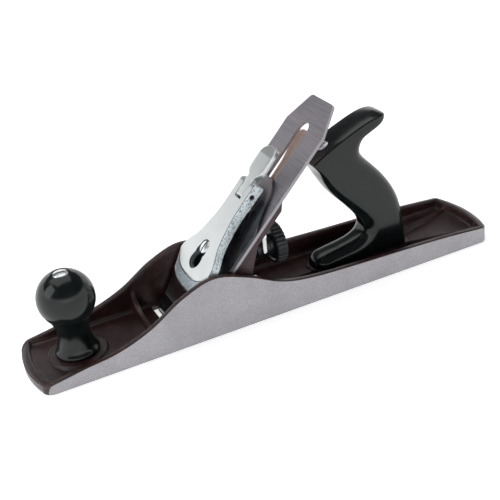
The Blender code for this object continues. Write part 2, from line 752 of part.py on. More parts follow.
def make_depth_adjuster():
    place = frame("stud_frame", Matrix.Translation((GROOVE_X, 0, STUD_Z)))
    start = EDGE_X + FROG_FOOT - 2 * MM
    stud = rod("depth_stud", STUD_R, start, GROOVE_X + STUD_END, "X", (0, STUD_Z), group=PARTS)
    finish(stud, BRIGHT)
    edge, face = GROOVE / 2 + COLLAR, GROOVE / 2
    end = WHEEL_BACK + WHEEL_WIDTH / 2 + 0.8 * MM
    bore = STUD_R + GAP
    profile = [
        (SLEEVE_R, end),
        (SLEEVE_R, edge),
        (COLLAR_R, edge),
        (COLLAR_R, face),
        (GROOVE_R, face),
        (GROOVE_R, -face),
        (COLLAR_R, -face),
        (COLLAR_R, -edge),
        (bore, -edge),
        (bore, end),
    ]
    finish(turned("depth_sleeve", profile, "X", place, True), WHEEL_BLACK)
    ribs = []
    for i in range(WHEEL_RIBS):
        middle = 360 * i / WHEEL_RIBS
        half = 360 / WHEEL_RIBS / 4
        ribs += arc((0, 0), WHEEL_R, middle - half * 0.8, middle + half * 0.8, 1)
        ribs += arc((0, 0), WHEEL_R - 0.7 * MM, middle + half * 1.2, middle + half * 2.8, 1)
    low, high = WHEEL_BACK - WHEEL_WIDTH / 2, WHEEL_BACK + WHEEL_WIDTH / 2
    wheel = prism("depth_wheel", ribs, low, high, "YZ", place, PARTS)
    hub = rod("hub_join", COLLAR_R - 0.4 * MM, edge + GAP, low + MM, "X", (0, 0), place, sides=CIRCLE)
    bore = rod("hub_cut", SLEEVE_R + GAP, -20 * MM, 40 * MM, "X", (0, 0), place, sides=CIRCLE)
    return finish(cut(join(wheel, hub), bore), WHEEL_BLACK)


def make_yoke():
    """A bent lever: a tooth up through the iron, and a fork down to the sleeve's groove."""
    place = frame("yoke_frame", Matrix.Translation((YOKE_X, 0, YOKE_Z)))

    def tilted(s, h):
        turned_point = Matrix.Rotation(-BED_ANGLE, 3, "Y") @ Vector((s, 0, h))
        return turned_point.x, turned_point.z

    tip = YOKE_DROP + CAP_IRON_FACE - 0.2 * MM
    half = YOKE_TOOTH / 2
    tooth = [tilted(half, 0), tilted(half, tip), tilted(-half, tip), tilted(-half, 0)]
    yoke = prism("yoke", tooth, -YOKE_HALF, YOKE_HALF, "XZ", place, PARTS)
    hub = rod("yoke_hub_join", 4 * MM, -YOKE_HALF, YOKE_HALF, "Y", (0, 0), place)
    inner, outer = FORK_BACK - 1.6 * MM, FORK_BACK + 1.9 * MM
    neck = [(-0.6 * MM, -2.9 * MM), (inner + MM, -6.5 * MM), (outer - MM, -3.3 * MM), (1.7 * MM, 2.4 * MM)]
    low, high = -YOKE_HALF + 0.05 * MM, YOKE_HALF - 0.05 * MM
    stem = prism("yoke_stem_join", neck, low, high, "XZ", place)
    bridge_low = (inner, -FORK_OUTSIDE, -6.8 * MM)
    bridge = box("yoke_bridge_join", bridge_low, (outer, FORK_OUTSIDE, -3 * MM), place)
    join(yoke, hub, stem, bridge, solver="MANIFOLD")
    arm = FORK_ARM / 2
    tip = arc((FORK_BACK, -FORK_DROP), arm, 180, 360, 6)
    outline = [(outer - 0.2 * MM, -4 * MM), (inner + 0.2 * MM, -4 * MM), *tip]
    for name, side in (("near", -1), ("far", 1)):
        low, high = sorted((side * FORK_INSIDE, side * (FORK_OUTSIDE - 0.1 * MM)))
        join(yoke, prism(f"fork_{name}_join", outline, low, high, "XZ", place))
    hole = rod("yoke_bore", YOKE_PIN_R + GAP, -20 * MM, 20 * MM, "Y", (0, 0), place)
    finish(cut(yoke, hole), BRIGHT)
    spot = (YOKE_AT, -YOKE_DROP)
    pin = rod("yoke_pin", YOKE_PIN_R, -YOKE_PIN_HALF, YOKE_PIN_HALF, "Y", spot, BED_FRAME, PARTS)
    return finish(pin, BRIGHT)


# ---------------------------------------------------------------- lateral lever


def make_lateral_lever():
    place = frame("lateral_frame", BED @ Matrix.Translation((LATERAL_AT, 0, 0)))
    low, high = LATERAL_TOP - LATERAL_THICKNESS, LATERAL_TOP
    stem, foot = 5.0 * MM, 4.0 * MM
    half = [
        *arc((LATERAL_REACH - 5 * MM, LATERAL_HALF - 5 * MM), 5 * MM, 0, 90, 4),
        (LATERAL_REACH - 16 * MM, LATERAL_HALF - 0.4 * MM),
        (LATERAL_REACH - 26 * MM, stem + 0.4 * MM),
        (12 * MM, stem),
        *arc((0, 0), 7 * MM, 40, 130, 6),
        *arc((-ROLLER_DROP, 0), foot, 70, 180, 6),
    ]
    lever = prism("lateral_lever", mirrored(half), low, high, "XY", place, PARTS)
    tab_low = (LATERAL_REACH - 1.6 * MM, -LATERAL_HALF + 4.5 * MM, low - 5 * MM)
    tab_high = (LATERAL_REACH - 0.1 * MM, LATERAL_HALF - 4.5 * MM, high - 0.2 * MM)
    join(lever, box("lateral_tab_join", tab_low, tab_high, place))
    for name, radius, at in (("pivot", RIVET_R, 0), ("roller", 2 * MM, -ROLLER_DROP)):
        hole = rod(f"lateral_{name}_hole", radius + GAP, -9 * MM, 9 * MM, "Z", (at, 0), place)
        cut(lever, hole)
    finish(lever, BRONZE)
    head = [
        (0, BED_FACE),
        (3.4 * MM, BED_FACE),
        (3.6 * MM, BED_FACE - LATERAL_DROP / 2),
        (RIVET_R, BED_FACE - LATERAL_DROP / 2),
        (RIVET_R, BED_FACE - BED_PLATE - MM),
        (0, BED_FACE - BED_PLATE - MM),
    ]
    finish(turned("lateral_rivet", head, "Z", place, sides=SMALL_CIRCLE), BRIGHT)
    spot = BED @ Matrix.Translation((LATERAL_AT - ROLLER_DROP, 0, 0))
    roller = [
        (0, -GAP),
        (ROLLER_R, -GAP),
        (ROLLER_R, high + GAP),
        (2 * MM, high + GAP),
        (2 * MM, low),
        (0, low),
    ]
    return finish(turned("lateral_roller", roller, "Z", frame("roller_frame", spot)), BRIGHT)


# ---------------------------------------------------------------- iron


def make_iron():
    half = IRON_WIDTH / 2
    corner = arc((IRON_LENGTH - 4 * MM, IRON_TOP_HALF - 3 * MM), 4 * MM, 0, 55, 4)
    side = [
        (IRON_LENGTH, 0),
        *corner,
        (IRON_LENGTH - IRON_TAPER, half),
        (IRON_LIFT, half),
        (IRON_LIFT, 0),
    ]
    opening = math.degrees(math.asin(SLOT_HALF / SLOT_EYE))
    slot = arc((SLOT_LOW, 0), SLOT_EYE, opening, 360 - opening, 16)
    slot += arc((SLOT_HIGH - SLOT_HALF, 0), SLOT_HALF, -90, 90, 10)
    blade = prism("blade", [mirrored(side), slot], -IRON_THICKNESS, 0, "XY", BED_FRAME, PARTS)
    low, run = -IRON_THICKNESS - 4 * MM, (IRON_THICKNESS + 4 * MM) / math.tan(BEVEL_ANGLE)
    wedge = [(IRON_LIFT, 0), (IRON_LIFT + run, low), (IRON_LIFT - 9 * MM, low), (IRON_LIFT - 9 * MM, 0)]
    wedge = [(s, h - 0.05 * MM) for s, h in wedge]
    cut(blade, prism("bevel_cut", wedge, -half - 5 * MM, half + 5 * MM, "XZ", BED_FRAME))
    return finish(blade, STEEL)


def cap_iron_profile():
    """The cap iron from the side: a hump that springs down to the edge, then a flat strip."""
    count = 6
    top, under = [], []
    for i in range(count + 1):
        t = i / count
        s = CAP_IRON_EDGE + HUMP_LENGTH * t
        rise = HUMP_RISE * math.sin(math.pi * t)
        thickness = CAP_IRON_THICKNESS * min(1, 0.25 + 2.2 * t)
        top.append((s, CAP_IRON_LOW + rise + thickness))
        under.append((s + 0.4 * MM * (i > 0), CAP_IRON_LOW + rise * 0.95))
    end = CAP_IRON_HIGH + 9 * MM
    return [*top, (end, CAP_IRON_FACE), (end, CAP_IRON_LOW), *reversed(under)]


def make_cap_iron():
    half = IRON_WIDTH / 2
    radius = CAP_IRON_TOP_HALF
    plan = [
        *arc((CAP_IRON_HIGH - radius, 0), radius, 0, 62, 6),
        (CAP_IRON_SHOULDER, half),
        (-5 * MM, half),
        (-5 * MM, 0),
    ]
    slot = stadium((LEVER_SCREW_AT + 2 * MM, 0), SLOT_HALF, 4.2 * MM)
    tooth = YOKE_TOOTH / 2 + 1 * MM
    side = YOKE_HALF + 1 * MM
    window = [(YOKE_AT + a * tooth, b * side) for a, b in ((-1, -1), (1, -1), (1, 1), (-1, 1))]
    hole = arc((CAP_SCREW_AT, 0), CAP_SCREW_SHANK + GAP, 0, 342, 19)
    loops = [mirrored(plan), slot, window, hole]
    cap = prism("cap_iron", cap_iron_profile(), -half, half, "XZ", BED_FRAME, PARTS)
    keep(cap, prism("cap_iron_keep", loops, -20 * MM, 20 * MM, "XY", BED_FRAME))
    finish(cap, STEEL)
    place = frame("cap_screw_frame", BED @ Matrix.Translation((CAP_SCREW_AT, 0, 0)))
    under = BED_FACE - CAP_SCREW_HEAD_THICKNESS
    profile = [
        (0, CAP_IRON_FACE),
        (CAP_SCREW_SHANK, CAP_IRON_FACE),
        (CAP_SCREW_SHANK, BED_FACE),
        (CAP_SCREW_HEAD, BED_FACE),
        (CAP_SCREW_HEAD, under),
        (0, under),
    ]
    screw = turned("cap_iron_screw", profile, "Z", place, sides=SMALL_CIRCLE)
    reach = CAP_SCREW_HEAD * 1.2
    low = (-reach, -DRIVER_SLOT / 2, under - MM)
    high = (reach, DRIVER_SLOT / 2, under + 1.2 * MM)
    return finish(cut(screw, box("cap_screw_slot", low, high, place)), BRIGHT)


# ---------------------------------------------------------------- lever cap


def cap_plan(inset, start, end):
    """The lever cap's half outline: a full-width nose, shoulders, and a narrow waist."""
    shoulders = [
        (CAP_CORNER, CAP_HALF),
        (CAP_CORNER + 4 * MM, CAP_HALF - 1.0 * MM),
        (58 * MM, 21.4 * MM),
        (65 * MM, 16.8 * MM),
        (72 * MM, 14.2 * MM),
        (79.5 * MM, 12.3 * MM),
        (87 * MM, 10.8 * MM),
        (CAP_AT_WAIST, CAP_WAIST),
    ]
    curve = [(s, y - inset) for s, y in smooth(shoulders, 2) if s < end]
    return [(start, 0), (start, CAP_HALF - inset), *curve, (end, CAP_WAIST - inset), (end, 0)]


def plane_cutter(name, a, b, c, parent):
    """A big block whose under face lies on three points, anticlockwise seen from its own side."""
    a, b, c = Vector(a), Vector(b), Vector(c)
    normal = (b - a).cross(c - a).normalized()
    block = box(name, (-60 * MM, -60 * MM, 0), (60 * MM, 60 * MM, 60 * MM), parent)
    turn = normal.to_track_quat("Z", "Y").to_matrix().to_4x4()
    block.matrix_local = Matrix.Translation(a) @ turn
    return block


def cap_profile():
    """The lever cap from the side: a hollow-ground nose, a flat top, and the walls' lower edge."""
    roof = CAP_TOP
    nose = SPRING_LOW
    end = CAP_END
    return [
        (CAP_NOSE, nose),
        (CAP_NOSE, nose + 1.0 * MM),
        (CAP_NOSE + 7 * MM, nose + 3.2 * MM),
        (CAP_NOSE + 14.5 * MM, nose + 6.6 * MM),
        (CAP_FRONT - 4.5 * MM, roof - 2.3 * MM),
        (CAP_FRONT, roof),
        (end - 3 * MM, roof),
        (end, roof - 3 * MM),
        (end, CAM_HEIGHT - 4.5 * MM),
        (CAP_CORNER, 8.1 * MM),
        (CAP_FRONT - 7 * MM, 4.6 * MM),
        (CAP_NOSE + 5 * MM, nose),
    ]


def keyhole(wide, narrow):
    """A round opening for the screw's head that narrows to a slot up the cap."""
    low, high = LEVER_SCREW_AT - KEYHOLE_SLIDE, LEVER_SCREW_AT
    spread = math.degrees(math.asin(min(0.98, narrow / wide)))
    return arc((low, 0), wide, spread, 360 - spread, 16) + arc((high, 0), narrow, -90, 90, 8)


def make_lever_cap():
    side = CAP_HALF + 5 * MM
    whole = mirrored(cap_plan(0, CAP_NOSE - 3 * MM, CAP_END + 3 * MM))
    cap = prism("lever_cap", whole, 0, 30 * MM, "XY", BED_FRAME, PARTS)
    keep(cap, prism("cap_side_keep", cap_profile(), -side, side, "XZ", BED_FRAME))
    inside = cap_plan(CAP_WALL, CAP_FRONT + 5 * MM, CAM_AT - 7 * MM)
    roof = CAP_TOP - CAP_ROOF
    cut(cap, prism("cap_hollow_cut", mirrored(inside), -5 * MM, roof, "XY", BED_FRAME))
    gap = CAM_HALF + 0.5 * MM
    start = CAM_AT - CAM_LOBE - 0.6 * MM
    cut(cap, box("cam_notch_cut", (start, -gap, -5 * MM), (CAP_END + 9 * MM, gap, 30 * MM), BED_FRAME))
    inner = CAP_FRONT - 22 * MM
    for name, s in (("near", -1), ("far", 1)):
        points = [
            (CAP_FRONT, s * 17 * MM, CAP_TOP),
            (CAP_CORNER, s * CAP_HALF, CAP_TOP),
            (inner, s * CAP_HALF, SPRING_LOW + 2.3 * MM),
        ]
        cut(cap, plane_cutter(f"cap_corner_{name}_cut", *points[::s], BED_FRAME))
    wide, narrow = KEYHOLE_WIDE_R, LEVER_HEAD_R + 0.5 * MM
    cut(cap, prism("keyhole_top_cut", keyhole(wide, narrow), roof + KEYHOLE_LEDGE, 30 * MM, "XY", BED_FRAME))
    wide, narrow = LEVER_HEAD_R + 0.5 * MM, LEVER_SCREW_R + GAP
    cut(cap, prism("keyhole_low_cut", keyhole(wide, narrow), -5 * MM, 29 * MM, "XY", BED_FRAME))
    place = (CAM_AT, CAM_HEIGHT)
    cut(cap, rod("cam_pin_cut", CAM_PIN_R + GAP, -side, side, "Y", place, BED_FRAME))
    riveted = (SPRING_RIVET, 0)
    cut(cap, rod("spring_rivet_cut", 1.4 * MM + GAP, 0, CAP_TOP - 1.2 * MM, "Z", riveted, BED_FRAME))
    finish(cap, NICKEL)
    pin_half = CAP_WAIST - 0.2 * MM
    finish(rod("cam_pin", CAM_PIN_R, -pin_half, pin_half, "Y", place, BED_FRAME, PARTS), BRIGHT)


def make_spring():
    """A leaf riveted under the cap's roof, bent down so the cam bears on its free end."""
    high = CAP_TOP - CAP_ROOF - GAP
    low = SPRING_LOW + SPRING
    end = CAM_AT + 6 * MM
    upper = [
        (SPRING_RIVET - 4 * MM, high),
        (SPRING_RIVET + 4.3 * MM, high),
        (CAM_AT - 9.7 * MM, low),
        (end, low),
    ]
    lower = [(end, SPRING_LOW), (CAM_AT - 10 * MM, SPRING_LOW), (SPRING_RIVET + 4 * MM, high - SPRING)]
    outline = [*upper, *lower, (SPRING_RIVET - 4 * MM, high - SPRING)]
    leaf = prism("cap_spring", outline, -SPRING_HALF, SPRING_HALF, "XZ", BED_FRAME, PARTS)
    hole = rod("leaf_hole", 1.4 * MM + GAP, 0, 20 * MM, "Z", (SPRING_RIVET, 0), BED_FRAME)
    finish(cut(leaf, hole), BRIGHT)
    place = frame("spring_rivet_frame", BED @ Matrix.Translation((SPRING_RIVET, 0, 0)))
    under = high - SPRING - GAP
    profile = [
        (0, CAP_TOP - 1.6 * MM),
        (1.4 * MM, CAP_TOP - 1.6 * MM),
        (1.4 * MM, under),
        (2.6 * MM, under),
        (2.2 * MM, under - 0.9 * MM),
        (0, under - 0.9 * MM),
    ]
    return finish(turned("spring_rivet", profile, "Z", place, sides=SMALL_CIRCLE), BRIGHT)


def make_lever_screw():
    place = frame("lever_screw_frame", BED @ Matrix.Translation((LEVER_SCREW_AT, 0, 0)))
    under = CAP_TOP - CAP_ROOF + KEYHOLE_LEDGE + GAP
    top = under + LEVER_HEAD
    end = BED_FACE - LEVER_SCREW_BITE
    profile = [
        (0, top),
        (LEVER_HEAD_R - 0.5 * MM, top),
        (LEVER_HEAD_R, top - 0.5 * MM),
        (LEVER_HEAD_R, under),
        (LEVER_SCREW_R, under),
        (LEVER_SCREW_R, end),
        (0, end),
    ]
    screw = turned("lever_cap_screw", profile, "Z", place, sides=24)
    return finish(slotted(screw, "lever_screw_slot", DRIVER_SLOT, top, LEVER_HEAD_R * 1.2, place), BRIGHT)


def make_cam():
    """A round lobe on the pin with a high spot below it, a neck, and a wide bent thumb piece."""
    place = frame("cam_frame", BED @ Matrix.Translation((CAM_AT, 0, CAM_HEIGHT)))
    lobe = []
    for i in range(22):
        angle = math.radians(32 + (330 - 32) * i / 21)
        press = max(0.0, math.cos(angle - 1.5 * math.pi)) ** 6
        radius = CAM_LOBE + (CAM_PRESS - CAM_LOBE) * press
        lobe.append((radius * math.cos(angle), radius * math.sin(angle)))
    reach = CAP_END - CAM_AT + 6 * MM
    outline = [*lobe, (reach, -1.6 * MM), (reach, 2.7 * MM)]
    cam = prism("cam_lever", outline, -CAM_HALF, CAM_HALF, "XZ", place, PARTS)
    start = CAP_END - CAM_AT + 1.5 * MM
    bend = THUMB_REACH - 8 * MM
    side = [
        (start, 2.5 * MM),
        (start + 4 * MM, 3.2 * MM),
        (bend, 3.1 * MM),
        (THUMB_REACH - 0.6 * MM, -1.6 * MM),
        (THUMB_REACH, -2.6 * MM),
        (THUMB_REACH - 1.6 * MM, -3.6 * MM),
        (bend - 1 * MM, 0.2 * MM),
        (start, -1.4 * MM),
    ]
    thumb = prism("thumb_join", side, -THUMB_HALF - MM, THUMB_HALF + MM, "XZ", place)
    half = THUMB_HALF
    plan = [
        (start - MM, CAM_HALF + 0.3 * MM),
        (start + 1.2 * MM, CAM_HALF + 0.4 * MM),
        (start + 3.5 * MM, half - 2.2 * MM),
        (start + 6 * MM, half - 0.3 * MM),
        (start + 9 * MM, half),
        (bend - 1 * MM, half),
        *arc((THUMB_REACH - 8 * MM, half - 8 * MM), 8 * MM, 90, 8, 5),
        (THUMB_REACH, 0),
    ]
    keep(thumb, prism("thumb_keep", mirrored([(start - MM, 0), *plan]), -20 * MM, 20 * MM, "XY", place))
    join(cam, thumb)
    return finish(cut(cam, rod("cam_bore", CAM_PIN_R + GAP, -20 * MM, 20 * MM, "Y", (0, 0), place)), NICKEL)


# ---------------------------------------------------------------- knob and tote


def barrel_nut(name, place, top, tall):
    """A slotted round head on a barrel that is bored from below for its rod."""
    under = top - NUT_HEIGHT
    barrel, bore = ROD_R + 1.1 * MM, ROD_R + GAP
    end = top - tall
    profile = [
        (0, top),
        (NUT_R * 0.75, top - 0.25 * MM),
        (NUT_R, top - 1.2 * MM),
        (NUT_R, under),
        (barrel, under),
        (barrel, end),
        (bore, end),
        (bore, under - 2 * MM),
        (0, under - 2 * MM),
    ]
    nut = turned(name, profile, "Z", place, sides=24)
    return finish(slotted(nut, f"{name}_slot", DRIVER_SLOT, top, NUT_R * 1.2, place), BRIGHT)


def make_knob():
    place = frame("knob_frame", Matrix.Translation((KNOB_X, 0, 0)))
    low = KNOB_SEAT + GAP
    nut_top = KNOB_BALL_Z + KNOB_BALL_R + 1.0 * MM
    recess = NUT_R + GAP
    floor = nut_top - NUT_HEIGHT - GAP
    bore = ROD_R + 1.1 * MM + GAP
    first = math.degrees(math.acos((recess + 0.3 * MM) / KNOB_BALL_R))
    ball = arc((0, KNOB_BALL_Z), KNOB_BALL_R, first, -46, 13)
    neck = smooth(
        [
            ball[-1],
            (KNOB_NECK_R + 0.7 * MM, low + 22.2 * MM),
            (KNOB_NECK_R, low + 17.2 * MM),
            (KNOB_NECK_R + 0.5 * MM, low + 11.5 * MM),
            (KNOB_NECK_R + 2.2 * MM, low + 5.5 * MM),
            (KNOB_FOOT_R, low + 2.2 * MM),
        ],
        2,
    )
    profile = [(recess, ball[0][1]), *ball[:-1], *neck, (KNOB_FOOT_R, low), (bore, low)]
    profile += [(bore, floor), (recess, floor)]
    finish(turned("knob", profile, "Z", place, True), BLACK)
    finish(rod("knob_rod", ROD_R, 2 * MM, floor - 7 * MM, "Z", (0, 0), place, PARTS), BRIGHT)
    return barrel_nut("knob_nut", place, nut_top, 16 * MM)


def tote_outline():
    """The tote's side view as (x from the foot's front, z, rounding), clockwise from the foot."""
    foot, grip = 4 * MM, TOTE_ROUND
    small = 5 * MM
    points = [
        *((x, z, foot) for x, z in ((1.8, 5), (1.8, 10), (3.2, 14.2), (7.6, 17.6), (16, 19.2))),
        *((x, z, foot) for x, z in ((27, 20.6), (35, 22.0), (40.6, 24.4), (44.0, 27.8))),
        *((x, z, small) for x, z in ((44.6, 32.4), (42.0, 37.8))),
        *((x, z, grip) for x, z in ((37.2, 44.4), (30.4, 52.6), (24.4, 59.4), (18.6, 67.2))),
        *((x, z, grip) for x, z in ((13.8, 76.0), (10.6, 83.4), (6.8, 89.0), (3.0, 94.0))),
        *((x, z, grip) for x, z in ((2, 102), (8, 114), (24, 124), (44, 129), (58, 128))),
        *((x, z, small) for x, z in ((66.0, 122), (66.6, 116.4), (64.0, 111.6))),
        *((x, z, grip) for x, z in ((59.4, 107.6), (52.6, 104.2), (47.4, 100.6), (44.6, 95.6))),
        *((x, z, grip) for x, z in ((44.8, 90.6), (48.0, 85.2), (53.5, 79.0), (60.8, 70.2))),
        *((x, z, grip) for x, z in ((66.8, 61.6), (71.7, 52.6), (74.8, 43.8), (76.0, 35.0))),
        *((x, z, small) for x, z in ((76.8, 20), (77.2, 5))),
    ]
    return [(x * MM, z * MM, rounding) for x, z, rounding in points]


def inset_ring(outline, y):
    """The outline moved inwards by a quarter circle's fall at this distance from the middle plane."""
    ring = []
    count = len(outline)
    for i, (x, z, rounding) in enumerate(outline):
        before, after = outline[i - 1], outline[(i + 1) % count]
        along = Vector((after[0] - before[0], after[1] - before[1])).normalized()
        past = max(0.0, abs(y) - (TOTE_HALF - rounding))
        fall = rounding - math.sqrt(max(0.0, rounding**2 - past**2))
        ring.append((TOTE_X + x + along.y * fall, y, z - along.x * fall))
    return ring


def loft(name, rings, group=PARTS):
    """Rings of equal count joined by quads, with flat faces on the first and the last."""
    shape = bmesh.new()
    rows = [[shape.verts.new(point) for point in ring] for ring in rings]
    for row, after in zip(rows, rows[1:]):
        for i in range(len(row)):
            shape.faces.new((row[i - 1], row[i], after[i], after[i - 1]))
    shape.faces.new(reversed(rows[0]))
    shape.faces.new(rows[-1])
    return from_bmesh(name, shape, None, group)


def make_tote():
    outline = tote_outline()
    flat = TOTE_HALF - TOTE_ROUND
    steps = [math.radians(a) for a in (0, 25, 50, 75)]
    reach = [flat + TOTE_ROUND * math.sin(a) for a in steps]
    tote = loft("tote", [inset_ring(outline, y) for y in [-r for r in reversed(reach)] + reach])
    foot = TOTE_SEAT + GAP
    cut(tote, box("tote_foot_cut", (TOTE_X - 30 * MM, -30 * MM, -20 * MM), (HEEL, 30 * MM, foot)))
    crown = [(-10, 83), (4, 92), (12, 96.8), (22, 102), (40, 109.6)]
    crown += [(53, 113.8), (61, 115), (67, 114.2), (90, 106)]
    crown = [(TOTE_X + x * MM, z * MM) for x, z in crown]
    above = [(TOTE_X + 90 * MM, 180 * MM), (TOTE_X - 10 * MM, 180 * MM)]
    over = prism("tote_crown_cut", crown + above, -40 * MM, 40 * MM, "XZ")
    cut(tote, over, solver="MANIFOLD")
    low, bore = -TOTE_ROD_LENGTH - 20 * MM, ROD_R + 1.1 * MM + GAP
    cut(tote, rod("tote_bore", bore, low, 20 * MM, "Z", (0, 0), TOTE_ROD_FRAME))
    floor = TOTE_NUT_PROUD - NUT_HEIGHT - GAP
    cut(tote, rod("tote_recess", NUT_R + GAP, floor, 30 * MM, "Z", (0, 0), TOTE_ROD_FRAME, sides=24))
    finish(tote, BLACK)
    low = -TOTE_ROD_LENGTH + 0.5 * MM
    finish(rod("tote_rod", ROD_R, low, floor - 6 * MM, "Z", (0, 0), TOTE_ROD_FRAME, PARTS), BRIGHT)
    return barrel_nut("tote_nut", TOTE_ROD_FRAME, TOTE_NUT_PROUD, 16 * MM)


def main():
    make_body()
    make_frog()
    make_frog_screw("frog_screw_near", -1)
    make_frog_screw("frog_screw_far", 1)
    make_adjuster()
    make_clip()
    make_depth_adjuster()
    make_yoke()
    make_lateral_lever()
    make_iron()
    make_cap_iron()
    make_lever_cap()
    make_spring()
    make_lever_screw()
    make_cam()
    make_knob()
    make_tote()


main()
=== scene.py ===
"""Bench hand plane: the fine surfaces and finishes of every piece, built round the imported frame.

World frame: the sole lies on z = 0, the toe points along -X and +Z is up.
Bed frame: s runs up the bed from the cutting edge, y across it and h off the iron's face.
"""

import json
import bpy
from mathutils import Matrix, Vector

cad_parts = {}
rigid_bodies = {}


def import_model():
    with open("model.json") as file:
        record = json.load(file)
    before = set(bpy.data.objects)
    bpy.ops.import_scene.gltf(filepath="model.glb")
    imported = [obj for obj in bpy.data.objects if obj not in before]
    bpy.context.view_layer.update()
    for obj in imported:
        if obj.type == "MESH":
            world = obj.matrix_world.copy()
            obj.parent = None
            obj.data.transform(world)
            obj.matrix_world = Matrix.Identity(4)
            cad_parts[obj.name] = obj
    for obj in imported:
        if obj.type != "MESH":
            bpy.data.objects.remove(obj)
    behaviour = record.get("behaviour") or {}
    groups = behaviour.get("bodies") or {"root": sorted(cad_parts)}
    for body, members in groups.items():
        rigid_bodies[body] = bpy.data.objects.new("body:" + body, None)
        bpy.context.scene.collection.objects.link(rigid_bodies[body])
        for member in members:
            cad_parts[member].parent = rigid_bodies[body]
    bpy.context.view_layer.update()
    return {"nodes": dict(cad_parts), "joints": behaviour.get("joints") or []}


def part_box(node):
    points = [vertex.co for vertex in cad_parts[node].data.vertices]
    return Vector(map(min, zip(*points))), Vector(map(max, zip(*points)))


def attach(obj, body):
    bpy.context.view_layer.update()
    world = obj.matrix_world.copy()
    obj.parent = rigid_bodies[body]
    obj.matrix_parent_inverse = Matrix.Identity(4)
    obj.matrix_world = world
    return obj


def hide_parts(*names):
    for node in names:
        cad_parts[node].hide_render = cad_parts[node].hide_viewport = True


bl_info = {
    "name": "Bench hand plane",
    "version": (1, 0),
    "blender": (4, 5, 0),
    "location": "3D View > Sidebar > Hand plane",
    "description": "Surfaces and finishes of a metal bench plane",
    "category": "Object",
}

from math import acos, asin, pi, radians, sin, sqrt

import bmesh
import bpy
import numpy as np
from bpy.props import FloatProperty, FloatVectorProperty, PointerProperty
from mathutils import Matrix, Quaternion, Vector

for startup_object in list(bpy.data.objects):
    bpy.data.objects.remove(startup_object, do_unlink=True)
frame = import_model()

MM = 0.001
ROOT_HALF = sqrt(0.5)
JOINTS = {joint["name"]: joint for joint in frame["joints"]}
PIVOT_UP_BED = 108 * MM  # the lateral lever's pivot, from the cutting edge
EDGE_X = JOINTS["lateral_pivot"]["pos_m"][0] - PIVOT_UP_BED * ROOT_HALF
BED = Matrix.Translation((EDGE_X, 0, 0)) @ Matrix.Rotation(-radians(45), 4, "Y")

HALF_LENGTH, HALF_WIDTH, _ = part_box("body")[1]
HALF_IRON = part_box("blade")[1].y
KNOB_LOW, KNOB_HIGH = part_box("knob")
KNOB_X = (KNOB_LOW.x + KNOB_HIGH.x) / 2


# Sizes and colours


def length(name, description, default):
    return FloatProperty(
        name=name, description=description, default=default, unit="LENGTH", precision=5
    )


def colour(name, description, default):
    return FloatVectorProperty(
        name=name, description=description, default=default, subtype="COLOR", size=3, min=0, max=1
    )


class HandPlaneSizes(bpy.types.PropertyGroup):
    """The roundings and small heights that the castings and mouldings are finished with."""

    rim_round: length("Rim round", "Radius on the cheeks' outer top edge", 0.7 * MM)
    casting_fillet: length("Casting fillet", "Radius where the cheeks meet the floor", 3.0 * MM)
    feature_slope: length("Feature slope", "Width of the step up to a cast pad or rib", 0.9 * MM)
    panel_depth: length("Panel depth", "Depth of the lever cap's sunk panel", 0.45 * MM)
    grip_round: length("Grip round", "Radius of the tote's gripping edges", 9.0 * MM)
    driver_slot: length("Driver slot", "Width of the slots in the nuts and screws", 1.1 * MM)


class HandPlaneColours(bpy.types.PropertyGroup):
    """The base colours of every finish."""

    paint: colour("Paint", "Stoved paint inside the castings", (0.030, 0.0100, 0.0100))
    ground_iron: colour("Ground iron", "Machined sides and sole", (0.385, 0.375, 0.395))
    iron_steel: colour("Cutting iron", "Brushed tool steel", (0.33, 0.31, 0.335))
    cap_steel: colour("Cap iron", "Polished dark steel", (0.055, 0.055, 0.06))
    nickel: colour("Nickel", "Satin nickel plate", (0.72, 0.745, 0.74))
    cast_grey: colour("Cast nickel", "Unpolished plated casting", (0.54, 0.62, 0.67))
    bright: colour("Bright steel", "Turned and polished screws", (0.80, 0.83, 0.84))
    plastic: colour("Plastic", "Black moulded handles", (0.0035, 0.0055, 0.0055))
    enamel: colour("Enamel", "Depth wheel", (0.010, 0.012, 0.014))
    # the cam pin's own blued colour, also used as painted shade inside the screw slots
    blued: colour("Blued steel", "Pin through the cam", (0.035, 0.028, 0.03))
    # painted reflection: the peach tint stands in for a warm reflection on plated steel
    lever: colour("Lever plate", "Plated lateral lever with painted warm reflection", (0.78, 0.60, 0.50))
    floor: colour("Floor", "Studio floor", (0.93, 0.93, 0.94))


# Shader expressions


class Wire:
    """One output of a node. Arithmetic on it, with numbers or other wires, adds Math nodes."""

    def __init__(self, finish, socket):
        self.finish = finish
        self.socket = socket

    def math(self, operation, *values):
        inputs = dict(enumerate(values))
        return self.finish.node("ShaderNodeMath", {"operation": operation}, inputs)

    def __add__(self, other):
        return self.math("ADD", self, other)

    def __radd__(self, other):
        return self.math("ADD", other, self)

    def __sub__(self, other):
        return self.math("SUBTRACT", self, other)

    def __rsub__(self, other):
        return self.math("SUBTRACT", other, self)

    def __mul__(self, other):
        return self.math("MULTIPLY", self, other)

    def __rmul__(self, other):
        return self.math("MULTIPLY", other, self)

    def step(self, low, high):
        """0 below low, 1 above high and a smooth rise between."""
        inputs = {"Value": self, "From Min": low, "From Max": high}
        return self.finish.node("ShaderNodeMapRange", {"interpolation_type": "SMOOTHSTEP"}, inputs)


